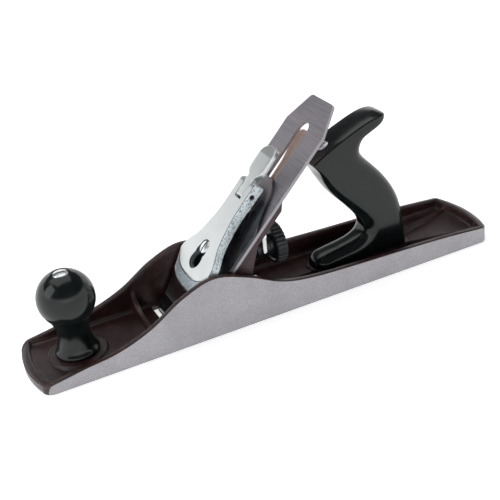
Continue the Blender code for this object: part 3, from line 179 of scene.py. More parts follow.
class Finish:
    """A material being written: a Principled shader, and one way to add any other node."""

    def __init__(self, name, **constants):
        self.material = bpy.data.materials.new(name)
        self.material.use_nodes = True
        self.tree = self.material.node_tree
        self.shader = self.tree.nodes["Principled BSDF"]
        self.set(**constants)

    def feed(self, socket, value):
        if isinstance(value, Wire):
            self.tree.links.new(value.socket, socket)
        elif hasattr(value, "__len__") and socket.type == "RGBA":
            socket.default_value = (*value[:3], 1)
        else:
            socket.default_value = value

    def node(self, kind, settings=None, inputs=None, output=0):
        """Adds a node: its settings first, then the values or links of its sockets."""
        made = self.tree.nodes.new(kind)
        for name, value in (settings or {}).items():
            setattr(made, name, value)
        for name, value in (inputs or {}).items():
            self.feed(made.inputs[name], value)
        return Wire(self, made.outputs[output])

    def place(self, turn=0.0, scale=(1, 1, 1)):
        """Object coordinates, turned about Y and stretched."""
        coords = self.node("ShaderNodeTexCoord", output="Object")
        turned = self.node("ShaderNodeMapping", inputs={"Vector": coords, "Rotation": (0, turn, 0)})
        return self.node("ShaderNodeMapping", inputs={"Vector": turned, "Scale": scale})

    def noise(self, vector, scale, detail=3.0, roughness=0.55):
        inputs = {"Vector": vector, "Scale": scale, "Detail": detail, "Roughness": roughness}
        return self.node("ShaderNodeTexNoise", inputs=inputs)

    def mix(self, factor, first, second):
        """A colour between two colours."""
        inputs = {0: factor, 6: first, 7: second}
        return self.node("ShaderNodeMix", {"data_type": "RGBA"}, inputs, output=2)

    def bump(self, height, strength, distance):
        inputs = {"Height": height, "Strength": strength, "Distance": distance}
        self.feed(self.shader.inputs["Normal"], self.node("ShaderNodeBump", inputs=inputs))

    def set(self, **values):
        """Feeds the shader's own sockets and gives back the material."""
        for socket, value in values.items():
            self.feed(self.shader.inputs[socket.replace("_", " ")], value)
        return self.material


def shade(base, amount):
    """A colour made lighter or darker by a factor."""
    return tuple(min(1.0, channel * amount) for channel in base)


UP_BED = radians(45)  # turns object coordinates to the bed frame's directions
GREY_END_START = EDGE_X * ROOT_HALF + 106 * MM


def painted_iron(tint):
    """Thick gloss paint on sand-cast iron: soft orange peel, small pits and a little dust."""
    look = Finish("stoved paint on casting")
    where = look.place()
    peel = look.noise(where, 640, 2)
    cast = look.noise(where, 95, 4)
    pits = look.noise(where, 1500, 2).step(0.60, 0.74)
    tone = look.mix(cast.step(0.35, 0.7), shade(tint, 0.72), shade(tint, 1.45))
    look.bump(peel * 0.7 + cast * 0.8 - pits * 0.25, 0.5, 0.0007)
    return look.set(Base_Color=tone, Roughness=0.25 + cast * 0.14 + pits * 0.1)


def ground_iron(tint):
    """Surface-ground cast iron: mottled graphite grain under fine lengthwise grinding lines."""
    look = Finish("surface-ground iron", Metallic=0.88)
    where = look.place()
    lines = look.noise(look.place(scale=(0.02, 1, 1)), 2600, 2)
    grain = look.noise(where, 1300, 3, 0.75)
    cloud = look.noise(where, 42, 3)
    speck = grain.step(0.40, 0.68)
    tone = look.mix(cloud.step(0.3, 0.7), shade(tint, 0.92), shade(tint, 1.07))
    tone = look.mix(speck * 0.8, tone, shade(tint, 0.70))
    look.bump(lines * 0.4 + grain * 0.6, 0.3, 0.00015)
    return look.set(Base_Color=tone, Roughness=0.40 + grain * 0.12 + cloud * 0.05)


def brushed_iron(tint):
    """Cutting iron: fine grinding lines across its width, and a faint oil stain."""
    look = Finish("cross-ground tool steel", Metallic=0.95)
    lines = look.noise(look.place(UP_BED, (1, 0.012, 1)), 3400, 3, 0.6)
    broad = look.noise(look.place(UP_BED, (1, 0.06, 1)), 420, 2)
    stain = look.noise(look.place(UP_BED), 26, 4)
    tone = look.mix(lines.step(0.3, 0.72), shade(tint, 0.78), shade(tint, 1.22))
    tone = look.mix(stain.step(0.52, 0.78) * 0.35, tone, shade(tint, 0.66))
    look.bump(lines * 0.7 + broad * 0.3, 0.25, 0.00012)
    return look.set(Base_Color=tone, Roughness=0.33 + broad * 0.14)


def dark_steel(tint):
    """Cap iron: polished dark steel that turns a lighter, rougher grey towards its upper end."""
    look = Finish("polished dark steel", Metallic=0.85)
    bed = look.place(UP_BED)
    up_bed = look.node("ShaderNodeSeparateXYZ", inputs={"Vector": bed}, output="X")
    end = up_bed.step(GREY_END_START, GREY_END_START + 9 * MM)
    fine = look.noise(look.place(UP_BED, (1, 0.03, 1)), 2600, 2)
    cloud = look.noise(bed, 60, 3)
    tone = look.mix(cloud.step(0.3, 0.75), shade(tint, 0.7), shade(tint, 1.5))
    tone = look.mix(end, tone, (0.30, 0.275, 0.29))
    look.bump(fine, 0.10, 0.0001)
    return look.set(Base_Color=tone, Roughness=0.16 + cloud * 0.10 + end * 0.22)


def satin_nickel(tint, name, roughness, pale=1.0):
    """Satin nickel: very fine polishing lines up the bed and faint handling marks."""
    look = Finish(name, Metallic=1.0)
    lines = look.noise(look.place(UP_BED, (0.03, 1, 1)), 3000, 2)
    marks = look.noise(look.place(), 34, 4)
    tone = look.mix(marks.step(0.35, 0.75), shade(tint, 1.04 * pale), shade(tint, 0.93 * pale))
    look.bump(lines, 0.10, 0.00008)
    return look.set(Base_Color=tone, Roughness=roughness + lines * 0.08 + marks * 0.05)


def cast_nickel(tint, name, pale):
    """Plated casting left rough: pale grains, dark pits between them and a strong bump."""
    look = Finish(name, Metallic=0.45)
    where = look.place()
    coarse = look.noise(where, 750, 3, 0.7)
    fine = look.noise(where, 2300, 2, 0.7)
    pits = (coarse * 0.6 + fine * 0.4).step(0.515, 0.575)
    tone = look.mix(fine.step(0.35, 0.65), shade(tint, pale * 0.85), shade(tint, pale * 1.15))
    tone = look.mix(pits * 0.8, tone, shade(tint, 0.28))
    look.bump(coarse + fine * 0.5, 0.35, 0.0003)
    return look.set(Base_Color=tone, Roughness=0.42 + pits * 0.25)


def turned_steel(tint, name, roughness):
    """Turned and polished steel: fine rings, with a few dull spots."""
    look = Finish(name, Metallic=1.0)
    where = look.place()
    fine = look.noise(where, 2600, 2)
    spots = look.noise(where, 260, 3).step(0.58, 0.75)
    tone = look.mix(spots, tint, shade(tint, 0.62))
    look.bump(fine, 0.10, 0.00008)
    return look.set(Base_Color=tone, Roughness=roughness + spots * 0.16 + fine * 0.05)


def black_plastic(tint):
    """Moulded black plastic: nearly smooth, with a slight flow ripple and polishing haze."""
    look = Finish("black moulded plastic", Specular_IOR_Level=0.42)
    where = look.place()
    ripple = look.noise(where, 55, 2)
    haze = look.noise(where, 160, 4)
    tone = look.mix(haze.step(0.4, 0.75), tint, shade(tint, 1.8))
    look.bump(ripple * 0.8 + haze * 0.25, 0.10, 0.0007)
    return look.set(Base_Color=tone, Roughness=0.12 + haze * 0.10)


def wheel_enamel(tint):
    """Semi-gloss black enamel, with paler teal-grey patches at random."""
    look = Finish("black wheel enamel")
    where = look.place()
    grain = look.noise(where, 700, 3)
    pale_patches = look.noise(where, 210, 4).step(0.62, 0.78)
    tone = look.mix(pale_patches * 0.6, tint, shade(tint, 6.0))
    look.bump(grain, 0.18, 0.0003)
    return look.set(Base_Color=tone, Roughness=0.30 + grain * 0.16)


def studio_floor(tint):
    """Seamless pale paper, with a barely visible tooth."""
    look = Finish("studio paper", Roughness=0.8, Emission_Strength=0.62)
    tooth = look.noise(look.place(), 240, 3)
    tone = look.mix(tooth.step(0.3, 0.7), tint, shade(tint, 0.985))
    return look.set(Base_Color=tone, Emission_Color=(1, 1, 1))


# Each finish: its slot in the record, its maker, its colour and what else the maker takes.
RECIPES = {
    "paint": ("painted_casting", painted_iron, "paint"),
    "ground": ("painted_casting", ground_iron, "ground_iron"),
    "iron": ("ground_steel", brushed_iron, "iron_steel"),
    "cap_steel": ("ground_steel", dark_steel, "cap_steel"),
    "nickel": ("nickel", satin_nickel, "nickel", "satin nickel", 0.24),
    "polished": ("nickel", satin_nickel, "nickel", "polished nickel", 0.10, 0.9),
    "cast": ("nickel", cast_nickel, "cast_grey", "rough plated casting", 1.5),
    "panel": ("nickel", cast_nickel, "cast_grey", "granular panel", 1.05),
    # shadow: a darkened copy of the cast finish, painted shade in the cap's keyhole, edge line,
    # notch and pin hole
    "shadow": ("nickel", cast_nickel, "cast_grey", "dull inner casting", 0.22),
    "bright": ("bright_steel", turned_steel, "bright", "bright turned steel", 0.24),
    # the cam pin's blued steel, and painted shade inside the screw slots
    "blued": ("bright_steel", turned_steel, "blued", "blued steel", 0.34),
    # lever: plated steel tinted peach as a painted warm reflection
    "lever": ("plated_lever", turned_steel, "lever", "warm plated steel", 0.30),
    "plastic": ("black_plastic", black_plastic, "plastic"),
    "enamel": ("wheel_enamel", wheel_enamel, "enamel"),
}
FINISHES = {}


def finish_of(name):
    """The named finish, made the first time that a piece asks for it."""
    if name not in FINISHES:
        _, maker, tint, *rest = RECIPES[name]
        FINISHES[name] = maker(getattr(bpy.context.scene.hand_plane_colours, tint), *rest)
    return FINISHES[name]


# Curves and grids


def rise(value, low, high):
    """0 below low, 1 above high, and t * t * (3 - 2t) between them."""
    t = np.clip((value - low) / (high - low), 0, 1)
    return t * t * (3 - 2 * t)


def quarter(count):
    """Angles over a quarter turn."""
    return np.linspace(0, np.pi / 2, count)


def smooth_line(points, steps):
    """A Catmull-Rom curve: each span's point is a cubic blend of its four neighbours."""
    points = np.asarray(points, float)
    ends = np.concatenate([points[:1], points, points[-1:]])[:, None]
    a, b, c, d = ends[:-3], ends[1:-2], ends[2:-1], ends[3:]
    t = (np.arange(steps) / steps)[None, :, None]
    bend = (2 * a - 5 * b + 4 * c - d) * t**2 + (3 * (b - c) + d - a) * t**3
    spans = 0.5 * (2 * b + (c - a) * t + bend)
    return np.concatenate([spans.reshape(-1, points.shape[1]), points[-1:]])


def evenly(points, spacing):
    """Points along a polyline at near-equal distances, its ends kept."""
    points = np.asarray(points, float)
    steps = np.linalg.norm(np.diff(points, axis=0), axis=1)
    travelled = np.concatenate([[0], np.cumsum(steps)])
    at = np.linspace(0, travelled[-1], max(2, int(round(travelled[-1] / spacing)) + 1))
    return np.stack([np.interp(at, travelled, column) for column in points.T], axis=1)


def spaced(low, high, coarse, fine, places, reach):
    """Values from low to high, closer together within reach of the named places."""
    walk = np.linspace(low, high, 8001)
    near = np.min(np.abs(walk[:, None] - np.asarray(places)[None, :]), axis=1)
    density = 1 / (fine + (coarse - fine) * rise(near, reach * 0.5, reach))
    total = np.concatenate([[0], np.cumsum((density[1:] + density[:-1]) / 2 * np.diff(walk))])
    return np.interp(np.linspace(0, total[-1], int(total[-1]) + 1), total, walk)


def grid_of(x, y, z):
    """Grids of x, y and z, spread to one size, as one grid of points."""
    return np.stack(np.broadcast_arrays(x, y, z), axis=-1)


def placed(points, matrix):
    """Points of a grid carried by a matrix."""
    matrix = np.array(matrix)
    return points @ matrix[:3, :3].T + matrix[:3, 3]


def along_axis(radius, height, angle):
    """Points turned about Z: x = r cos a, y = r sin a, on a grid of angles by profile points."""
    return grid_of(radius * np.cos(angle), radius * np.sin(angle), height)


def quads_of(points, wrap_u, wrap_v, first):
    """Corner indices of a grid's quads, numbered from first."""
    index = first + np.arange(points.shape[0] * points.shape[1]).reshape(points.shape[:2])
    if wrap_u:
        index = np.concatenate([index, index[:1]], axis=0)
    if wrap_v:
        index = np.concatenate([index, index[:, :1]], axis=1)
    corners = index[:-1, :-1], index[1:, :-1], index[1:, 1:], index[:-1, 1:]
    return np.stack(corners, axis=-1).reshape(-1, 4)


def skin(name, patches, finishes, sharp=38, caps=(), flat_ends=False):
    """One closed mesh from grids. A patch is (points, wrap_u, wrap_v, each quad's finish or one).

    The grids' shared borders, poles and seams are merged, open rims are filled flat where
    flat_ends says so, and the faces are turned outwards.
    """
    corners, faces, looks, first = [], [], [], 0
    for points, wrap_u, wrap_v, look in patches:
        quads = quads_of(points, wrap_u, wrap_v, first)
        corners.append(points.reshape(-1, 3))
        faces += quads.tolist()
        looks.append(np.broadcast_to(np.asarray(look).reshape(-1), len(quads)))
        first += len(corners[-1])
    faces += [list(cap) for cap in caps]
    looks.append(np.zeros(len(caps), int))
    mesh = bpy.data.meshes.new(name)
    mesh.from_pydata(np.concatenate(corners).tolist(), [], faces)
    mesh.polygons.foreach_set("material_index", np.concatenate(looks).astype(np.int32))
    shape = bmesh.new()
    shape.from_mesh(mesh)
    bmesh.ops.remove_doubles(shape, verts=shape.verts, dist=2e-6)
    bmesh.ops.dissolve_degenerate(shape, edges=shape.edges, dist=1e-7)
    for side in (-1, 1) if flat_ends else ():
        rims = [edge for edge in shape.edges if edge.is_boundary and edge.verts[0].co.y * side > 0]
        bmesh.ops.triangle_fill(shape, use_beauty=True, edges=rims, normal=(0, side, 0))
    bmesh.ops.recalc_face_normals(shape, faces=shape.faces)
    if shape.calc_volume(signed=True) < 0:
        bmesh.ops.reverse_faces(shape, faces=shape.faces)
    shape.to_mesh(mesh)
    shape.free()
    return new_piece(name, mesh, finishes, sharp)


def linked(name, data):
    """An object of the scene that shows data."""
    made = bpy.data.objects.new(name, data)
    bpy.context.scene.collection.objects.link(made)
    return made


def new_piece(name, mesh, finishes, sharp=38):
    for finish in finishes:
        mesh.materials.append(finish_of(finish))
    mesh.shade_smooth()
    mesh.set_sharp_from_angle(angle=radians(sharp))
    return linked(name, mesh)


def stands_for(piece, body, slot, *nodes):
    """The piece rides on its body and replaces its CAD nodes; its slot is not used."""
    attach(piece, body)
    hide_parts(*nodes)


def carved(piece, *cutters):
    """Cuts closed meshes out of a piece, keeps the result as plain mesh and drops the cutters."""
    for cutter in cutters:
        modifier = piece.modifiers.new(cutter.name, "BOOLEAN")
        modifier.operation = "DIFFERENCE"
        modifier.object = cutter
        modifier.solver = "EXACT"
    graph = bpy.context.evaluated_depsgraph_get()
    mesh = bpy.data.meshes.new_from_object(piece.evaluated_get(graph))
    piece.modifiers.clear()
    piece.data = mesh
    for cutter in cutters:
        bpy.data.objects.remove(cutter, do_unlink=True)


def block(name, outline, half, matrix, look=0):
    """A closed cutter: an outline in its frame's XZ plane carried along Y by half to each side."""
    x, z = np.asarray(outline, float).T
    count = len(x)
    caps = range(count), range(2 * count - 1, count - 1, -1)
    points = placed(grid_of(x, np.array([[-half], [half]]), z), matrix)
    return skin(name, [(points, False, True, look)], [], caps=caps)


def softened(node, body, width, slot="bright", ending="turned"):
    """A CAD node's own surface, merged, with its sharp edges rolled over by a width in mm."""
    name = f"{node}_{ending}"
    shape = bmesh.new()
    shape.from_mesh(frame["nodes"][node].data)
    bmesh.ops.remove_doubles(shape, verts=shape.verts, dist=1e-6)
    nearly_flat = radians(1.5)
    bmesh.ops.dissolve_limit(shape, angle_limit=nearly_flat, verts=shape.verts, edges=shape.edges)
    mesh = bpy.data.meshes.new(name)
    shape.to_mesh(mesh)
    shape.free()
    piece = new_piece(name, mesh, [slot])
    bevel = piece.modifiers.new("rolled edges", "BEVEL")
    bevel.width = width * MM
    bevel.segments = 2
    bevel.limit_method = "ANGLE"
    bevel.angle_limit = radians(38)
    bevel.use_clamp_overlap = True
    bevel.harden_normals = True
    stands_for(piece, body, slot, node)


# Body casting

SOLE = 4.5 * MM
CHEEK = 4.0 * MM
LIP = 4.5 * MM
END_BOW = 6.0 * MM
CORNER = 5.5 * MM
HUMP_X = EDGE_X + 25.7 * MM
TRAY = HALF_WIDTH - CHEEK
RIB_X = EDGE_X - 15 * MM
SEAT_BACK = EDGE_X + 55 * MM
TOTE_X = EDGE_X + 111.2 * MM
TOTE_SEAT_END = TOTE_X + 80.5 * MM
IRON_THICK = 2.2 * MM
ARC_STEPS, WALL_STEPS, SIDE_STEPS = 4, 5, 17  # columns in a rounding, a tray wall, an outer side
GROUND = 1  # the casting's second finish, after its paint


def cheek_line():
    """The cheeks' top edge from toe to heel as (x, z)."""
    hump = [(-73, 14.6), (-48, 23.5), (-24, 37.7), (0, 45.0), (24, 37.7), (49, 25.7), (73, 20.9)]
    stations = np.array([(0, 7.3), (30, 11.2), *hump, (110, 18.6), (-56, 16.2), (0, 12.4)]) * MM
    stations[:2, 0] -= HALF_LENGTH
    stations[2:-2, 0] += HUMP_X
    stations[-2:, 0] += HALF_LENGTH
    return smooth_line(stations, 12)


def floor_height(x, y, slope):
    """The tray's floor with its cast pads and ribs: the highest of several smooth steps."""

    def raised(height, inside):
        """A step whose foot is a slope's width outside the line where inside is 0."""
        return SOLE + (height * MM - SOLE) * rise(inside, -slope, 0)

    def oblong(low, high, half):
        """How far inside a rectangle each point lies."""
        return np.minimum(np.minimum(x - low, high - x), half * MM - np.abs(y))

    dip = (8.0 + 11.0 * np.abs(y / TRAY) ** 4) * MM
    nose = 11 * MM - np.hypot(np.minimum(x - TOTE_X - 10.5 * MM, 0), y)
    start = np.array((TOTE_SEAT_END - 5 * MM, 7 * MM))
    run = (HALF_LENGTH - 6.5 * MM, TRAY - 7 * MM) - start
    run /= np.linalg.norm(run)
    ahead = x - start[0]
    across = np.abs(ahead * run[1] - (np.abs(y) - start[1]) * run[0])
    splay = (1 - rise(across, 0.6 * MM, 3.6 * MM)) * rise(ahead, -2 * MM, 2 * MM)
    steps = [
        SOLE + 1.1 * MM * rise(np.abs(x), HALF_LENGTH - 26 * MM, HALF_LENGTH - 6 * MM),
        raised(6.6, 20 * MM - np.hypot(x - KNOB_X, y)),
        SOLE + (dip - SOLE) * (1 - rise(np.abs(x - RIB_X), 1.4 * MM, 3.4 * MM)),
        raised(9, oblong(EDGE_X + 4.6 * MM, SEAT_BACK, 20)),
        raised(18, oblong(SEAT_BACK - 15 * MM, SEAT_BACK + 1.5 * MM, 6)),
        raised(7.4, oblong(SEAT_BACK - 2 * MM, TOTE_X + 4 * MM, 4)),
        raised(9, np.minimum(nose, TOTE_SEAT_END - x)),
        SOLE + 3.3 * MM * splay,
    ]
    return np.maximum.reduce(steps)


def bowed(station, y):
    """A section's x at each y: it falls back with y squared, and more towards the ends."""
    bow = rise(np.abs(station), HALF_LENGTH - 45 * MM, HALF_LENGTH) * END_BOW
    return station - np.sign(station) * bow * (y / HALF_WIDTH) ** 2


def body_grid(sizes):
    """The tray as sections from toe to heel: over the rim, down to the floor and across it.

    At each end the floor rises to a lip, and the section's width follows the rounded corner.
    It gives the stations, the sections, the sides' distance from the middle and their height.
    """
    toe, heel = -HALF_LENGTH + LIP, HALF_LENGTH - LIP
    places = [RIB_X, KNOB_X - 19.5 * MM, KNOB_X + 19.5 * MM, SEAT_BACK, EDGE_X + 4 * MM, TOTE_X]
    places += [TOTE_SEAT_END, toe, heel]
    middle = spaced(toe, heel, 1.1 * MM, 0.5 * MM, places, 6 * MM)
    tip = LIP * np.sin(quarter(14)[1:])
    station = np.concatenate([toe - tip[::-1], middle, heel + tip])[:, None]
    reach = np.abs(station)
    past = np.clip((reach - (HALF_LENGTH - CORNER)) / CORNER, 0, 1)
    shrink = CORNER * (1 - np.sqrt(1 - past**2))
    drop = 2.0 * MM * (1 - np.sqrt(1 - np.clip((reach - HALF_LENGTH) / LIP + 1, 0, 1) ** 2))
    top = np.interp(station, *cheek_line().T) - drop
    side, wall = HALF_WIDTH - shrink, TRAY - shrink
    room = np.minimum(1, 0.9 * (top - SOLE) / (sizes.casting_fillet + MM))
    fillet, inner = sizes.casting_fillet * room, MM * room
    rim = np.minimum(sizes.rim_round, top * 0.3)
    turn = quarter(ARC_STEPS + 1)[None, 1:]
    roll = turn - turn[0, 0]
    places = [(y - 0.3) / 24.75 for y in (4, 6, 11, 20)]
    lanes = spaced(0, 1, 0.036, 0.018, places, 0.05)[None, -2::-1]
    half_y = [side - rim * (1 - np.cos(turn)), wall + inner * (1 - np.sin(roll))]
    half_y += [np.repeat(wall, WALL_STEPS, axis=1), wall - fillet * (1 - np.cos(turn))]
    half_y = np.concatenate([*half_y, lanes * (wall - fillet)], axis=1)
    y = np.concatenate([-half_y, half_y[:, -2::-1]], axis=1)
    x = bowed(station, y)
    floor = floor_height(x, y, sizes.feature_slope)[:, : half_y.shape[1]]
    foot = 2 * ARC_STEPS + WALL_STEPS
    edge = top - inner
    low = floor[:, 2 * ARC_STEPS : foot] + fillet
    half_z = [top - rim * (1 - np.sin(turn)), top - inner * (1 - np.cos(roll))]
    half_z += [edge - (edge - low) * np.linspace(0.15, 1, WALL_STEPS)[None, :]]
    half_z += [floor[:, foot : foot + ARC_STEPS] + fillet * (1 - np.sin(turn))]
    half_z = np.concatenate([*half_z, floor[:, foot + ARC_STEPS :]], axis=1)
    tray = np.concatenate([half_z, half_z[:, -2::-1]], axis=1)
    opened = rise(HALF_LENGTH - LIP - reach, 0, 3.0 * MM)
    z = np.where(tray > top - rim * 1.01, tray, top - opened * (top - tray))
    z[:, :ARC_STEPS] = tray[:, :ARC_STEPS]
    z[:, -ARC_STEPS:] = tray[:, -ARC_STEPS:]
    return station, x, y, z, side, top - rim


def make_body_casting(sizes):
    """Closes the tray's sections with the sides and the sole, fills both ends, cuts the mouth."""
    station, x, y, z, side, shoulder = body_grid(sizes)
    climb = np.sin(quarter(SIDE_STEPS))[None, :]
    near, far = (grid_of(bowed(station, side), s * side, shoulder * climb) for s in (-1, 1))
    over, under = grid_of(x, y, z), grid_of(x, y, 0.0)
    grid = np.concatenate([near, over, far[:, ::-1], under[:, ::-1]], axis=1)
    inward = HALF_LENGTH - np.abs(station + np.sign(station) * 0.3 * MM)
    below = shoulder * (1 - (climb[:, :-1] + climb[:, 1:]) / 2)
    corner, margin = 4.0 * MM, 1.2 * MM
    out = np.hypot(np.maximum(corner - inward + margin, 0), np.maximum(corner - below, 0))
    ground = ((out < corner) & (inward > margin)).astype(int)
    far_side = SIDE_STEPS + over.shape[1]
    look = np.zeros(grid.shape[:2], int)
    look[:, : SIDE_STEPS - 1] = ground
    look[:, far_side : far_side + SIDE_STEPS - 1] = ground[:, ::-1]
    look[:, far_side + SIDE_STEPS - 1 :] = GROUND
    patches = [(grid, False, True, look[:-1])]
    share = climb[0][:, None, None]
    for row in (0, -1):
        top = np.concatenate([near[row, -1:], over[row], far[row, -1:]])
        low = np.concatenate([near[row, :1], under[row], far[row, :1]])
        ground = np.repeat(climb[0, 1:, None] < 0.35, len(top) - 1, axis=1)
        patches.append((low * (1 - share) + top * share, False, False, ground.astype(int)))
    piece = skin("body_casting", patches, ["paint", "ground"], 42)
    ahead = EDGE_X - 4.6 * MM
    behind = EDGE_X + (IRON_THICK + 1.0 * MM) * sqrt(2)
    low, high = -3 * MM, 25 * MM
    outline = [(ahead, low), (behind + low, low), (behind + high, high), (ahead, high)]
    carved(piece, block("mouth", outline, HALF_IRON + 1.2 * MM, Matrix.Identity(4)))
    stands_for(piece, "base", "paint", "body")


# Turned and slotted pieces


def slotted_head(radius, top, slot):
    """A round head built from parallel chords, closed over and under.

    Each column is a chord at one distance from the middle. Its height falls from the dome's top
    with the square of the radius, rolls over the rim, and drops into the slot near the middle.
    """
    edge = slot / 2
    right = edge + (radius - edge) * np.sin(quarter(22))
    right = np.concatenate([[edge * 0.94], [edge], right[1:]])
    a = np.concatenate([-right[::-1], [0.0], right])[:, None]
    t = np.sin(np.linspace(-np.pi / 2, np.pi / 2, 34))[None, :]
    b = t * np.sqrt(np.maximum(radius**2 - a**2, 0))
    share = np.minimum(np.hypot(a, b) / radius, 1)
    height = top - 0.8 * MM * share**2 - 0.5 * MM * rise(share, 0.90, 1.0) ** 2
    height = np.where(np.abs(a) < edge * 0.97, np.minimum(height, top - 1.2 * MM), height)
    under = grid_of(b, a, top - 2.8 * MM)
    return np.concatenate([grid_of(b, a, height), under[:, ::-1]], axis=1)


def turned_grid(profile, sides=48):
    """A closed profile of (radius, height) carried round Z."""
    profile = np.asarray(profile, float)
    angle = np.linspace(0, 2 * np.pi, sides, endpoint=False)[:, None]
    return along_axis(profile[None, :, 0], profile[None, :, 1], angle)


def make_nut(node, body, matrix, top, radius=5.8 * MM, shank=3.8 * MM, depth=16 * MM):
    """A slotted head on a turned shank. The slot's own quads take the dark blued finish as painted
    shade.
    """
    slot = bpy.context.scene.hand_plane_sizes.driver_slot
    head = slotted_head(radius, top, slot)
    end, chamfer = top - depth, 0.4 * MM
    barrel = [(0, top - 2.4 * MM), (shank, top - 2.4 * MM), (shank, end + chamfer)]
    barrel = placed(turned_grid([*barrel, (shank - chamfer, end), (0, end)]), matrix)
    # painted shade: the quads inside the slot are marked for the dark blued finish
    groove = np.abs(head[:-1, :, 1] + head[1:, :, 1]) < slot
    patches = [(placed(head, matrix), False, True, groove.astype(int)), (barrel, True, False, 0)]
    piece = skin(f"{node}_turned", patches, ["bright", "blued"])
    stands_for(piece, body, "bright", node)


def make_knob():
    """The ball, its waist and its foot as one profile: an arc, then a smooth curve."""
    ball, centre, recess, rim, bore = np.array((19.6, 48.0, 5.6, 0.7, 4.1)) * MM
    angle = np.linspace(acos((recess + rim) / ball), radians(-44), 72)
    arc = np.stack([ball * np.cos(angle), centre + ball * np.sin(angle)], axis=1)
    roll = rim * (1 - sin(pi / 8))
    lip = (recess + roll, arc[0, 1] - 0.2 * rim - roll)
    neck = [(11.8, 22.0), (11.0, 17.0), (11.5, 11.3), (13.2, 5.6), (15.0, 2.4), (15.2, 1.2)]
    foot = KNOB_LOW.z
    neck = np.array([*neck, (14.7, 0)]) * MM + (0, foot)
    neck = smooth_line([arc[-1], *neck], 8)[1:]
    nut_seat = centre + ball - 2.3 * MM
    profile = [lip, *arc, *neck, (bore, foot), (bore, nut_seat), (recess, nut_seat)]
    grid = turned_grid(profile, 128) + (KNOB_X, 0, 0)
    piece = skin("knob_turning", [(grid, True, True, 0)], ["plastic"])
    stands_for(piece, "base", "plastic", "knob")


def make_wheel():
    """The depth wheel: a dished disc whose rim falls into rounded grooves between its ribs."""
    x, _, z = JOINTS["wheel_spin"]["pos_m"]
    ribs, radius, depth = 30, 15.0 * MM, 0.75 * MM
    side = [(5.5, 3.7), (5.8, 4.0), (7.4, 4.0), (7.8, 2.9), (11.6, 2.7), (12.4, 3.8), (13.4, 4.0)]
    side = np.array([*side, (14.3, 3.85), (14.8, 3.4), (15.0, 2.7), (15.0, 1.6)]) * MM
    hub = np.array([(7.5, -3.5), (7.5, -6.2), (7.2, -6.5), (5.5, -6.5)]) * MM
    back = side[:3:-1] * (1, -1)
    profile = np.concatenate([side, back, hub])[None]
    angle = np.linspace(0, 2 * np.pi, ribs * 14, endpoint=False)[:, None]
    groove = rise(0.5 + 0.5 * np.cos(angle * ribs), 0.25, 0.75)
    radii = profile[..., 0] - depth * groove * rise(profile[..., 0], 13.0 * MM, radius)
    grid = along_axis(radii, profile[..., 1], angle)
    to_x = Matrix.Rotation(pi / 2, 4, "Y")  # carries +Z to +X
    grid = placed(grid, Matrix.Translation((x, 0, z)) @ to_x)
    piece = skin("depth_wheel_rim", [(grid, True, True, 0)], ["enamel"], 50)
    stands_for(piece, "wheel", "enamel", "depth_wheel")


# Lever cap and cam

CAP_TOP = 13.8 * MM
CAP_TIP = 13.6 * MM
CAP_FRONT = 39.0 * MM
CAP_END = 116.0 * MM
CAP_SIDE = 25.2 * MM
KEY_LOW, KEY_HIGH, KEY_CENTRE = 50.2 * MM, 60.5 * MM, 55.0 * MM
NICKEL, CAST, PANEL, POLISHED, SHADOW = range(5)  # the order of the cap's finishes; SHADOW is painted shade
NOSE = [(13.6, 3.4), (16.5, 3.9), (20.6, 5.4), (24.5, 7.2), (28.1, 9.0), (39.0, 13.8)]
NOSE = np.array(NOSE) * MM
NOSE = np.concatenate([smooth_line(NOSE[:5], 8), NOSE[5:]])
UNDERSIDE = np.array([(13.6, 2.4), (18.6, 2.4), (32, 4.6), (49.5, 8.1), (116, 5.5)]) * MM


def cap_outline():
    """The lever cap seen square on, anticlockwise from the middle of its tip."""
    shoulders = [(49.5, 25.2), (53.5, 24.2), (58, 21.4), (65, 16.8), (72, 14.2), (79.5, 12.3)]
    shoulders += [(87, 10.8), (100, 10.2), (115.6, 10.2)]
    curve = smooth_line(np.array(shoulders) * MM, 10)
    front = evenly([(CAP_TIP, 0), (CAP_TIP, CAP_SIDE)], 0.45 * MM)[:-1]
    flank = evenly([(CAP_TIP, CAP_SIDE), *curve], 0.85 * MM)
    end = evenly([curve[-1], (CAP_END, 9.8 * MM), (CAP_END, 0)], 0.7 * MM)[1:]
    half = np.concatenate([front, flank, end])
    return np.concatenate([half, half[-2:0:-1] * (1, -1)])


def keyhole_radius(angle, wide, narrow):
    """How far the keyhole's edge lies from its centre in each direction: two circles and a slot."""
    turn = np.linspace(0, np.pi, 400)
    spread = asin(min(1, narrow / wide))
    upper = KEY_HIGH + narrow * np.exp(1j * turn[turn < np.pi / 2])
    lower = KEY_LOW + wide * np.exp(1j * turn[turn > spread])
    points = np.concatenate([upper, lower]) - KEY_CENTRE
    return np.interp(np.abs(angle), np.angle(points), np.abs(points))


def front_line(y):
    """Where the cap's flat top ends: it swings back towards the sides with the cube of y."""
    return CAP_FRONT + 10 * MM * np.abs(y / CAP_SIDE) ** 3


def stretched(s, y):
    """s moved so that the nose's profile ends on the front line at every y."""
    return CAP_TIP + (s - CAP_TIP) * (CAP_FRONT - CAP_TIP) / (front_line(y) - CAP_TIP)


def cap_height(s, y, sizes):
    """The cap's upper surface: flat, then an upper bevel with a sunk panel, then a hollow nose."""
    along = stretched(s, y)
    height = np.where(s > front_line(y), CAP_TOP, np.interp(along, *NOSE.T))
    past = np.clip(s - (CAP_END - 3 * MM), 0, 3 * MM)
    height = height - (3 * MM - np.sqrt(9 * MM**2 - past**2))
    return height - sizes.panel_depth * panel_mask(along, y)


def panel_mask(along, y):
    """1 inside the sunk panel on the upper bevel."""
    lengthwise = np.minimum(along - 29.6 * MM, 37.6 * MM - along)
    return rise(np.minimum(lengthwise, 23 * MM - np.abs(y)), 0, 0.35 * MM)


def between(first, second, share):
    """Points on the straight lines from one ring to another."""
    return first[:, None] * (1 - share) + second[:, None] * share


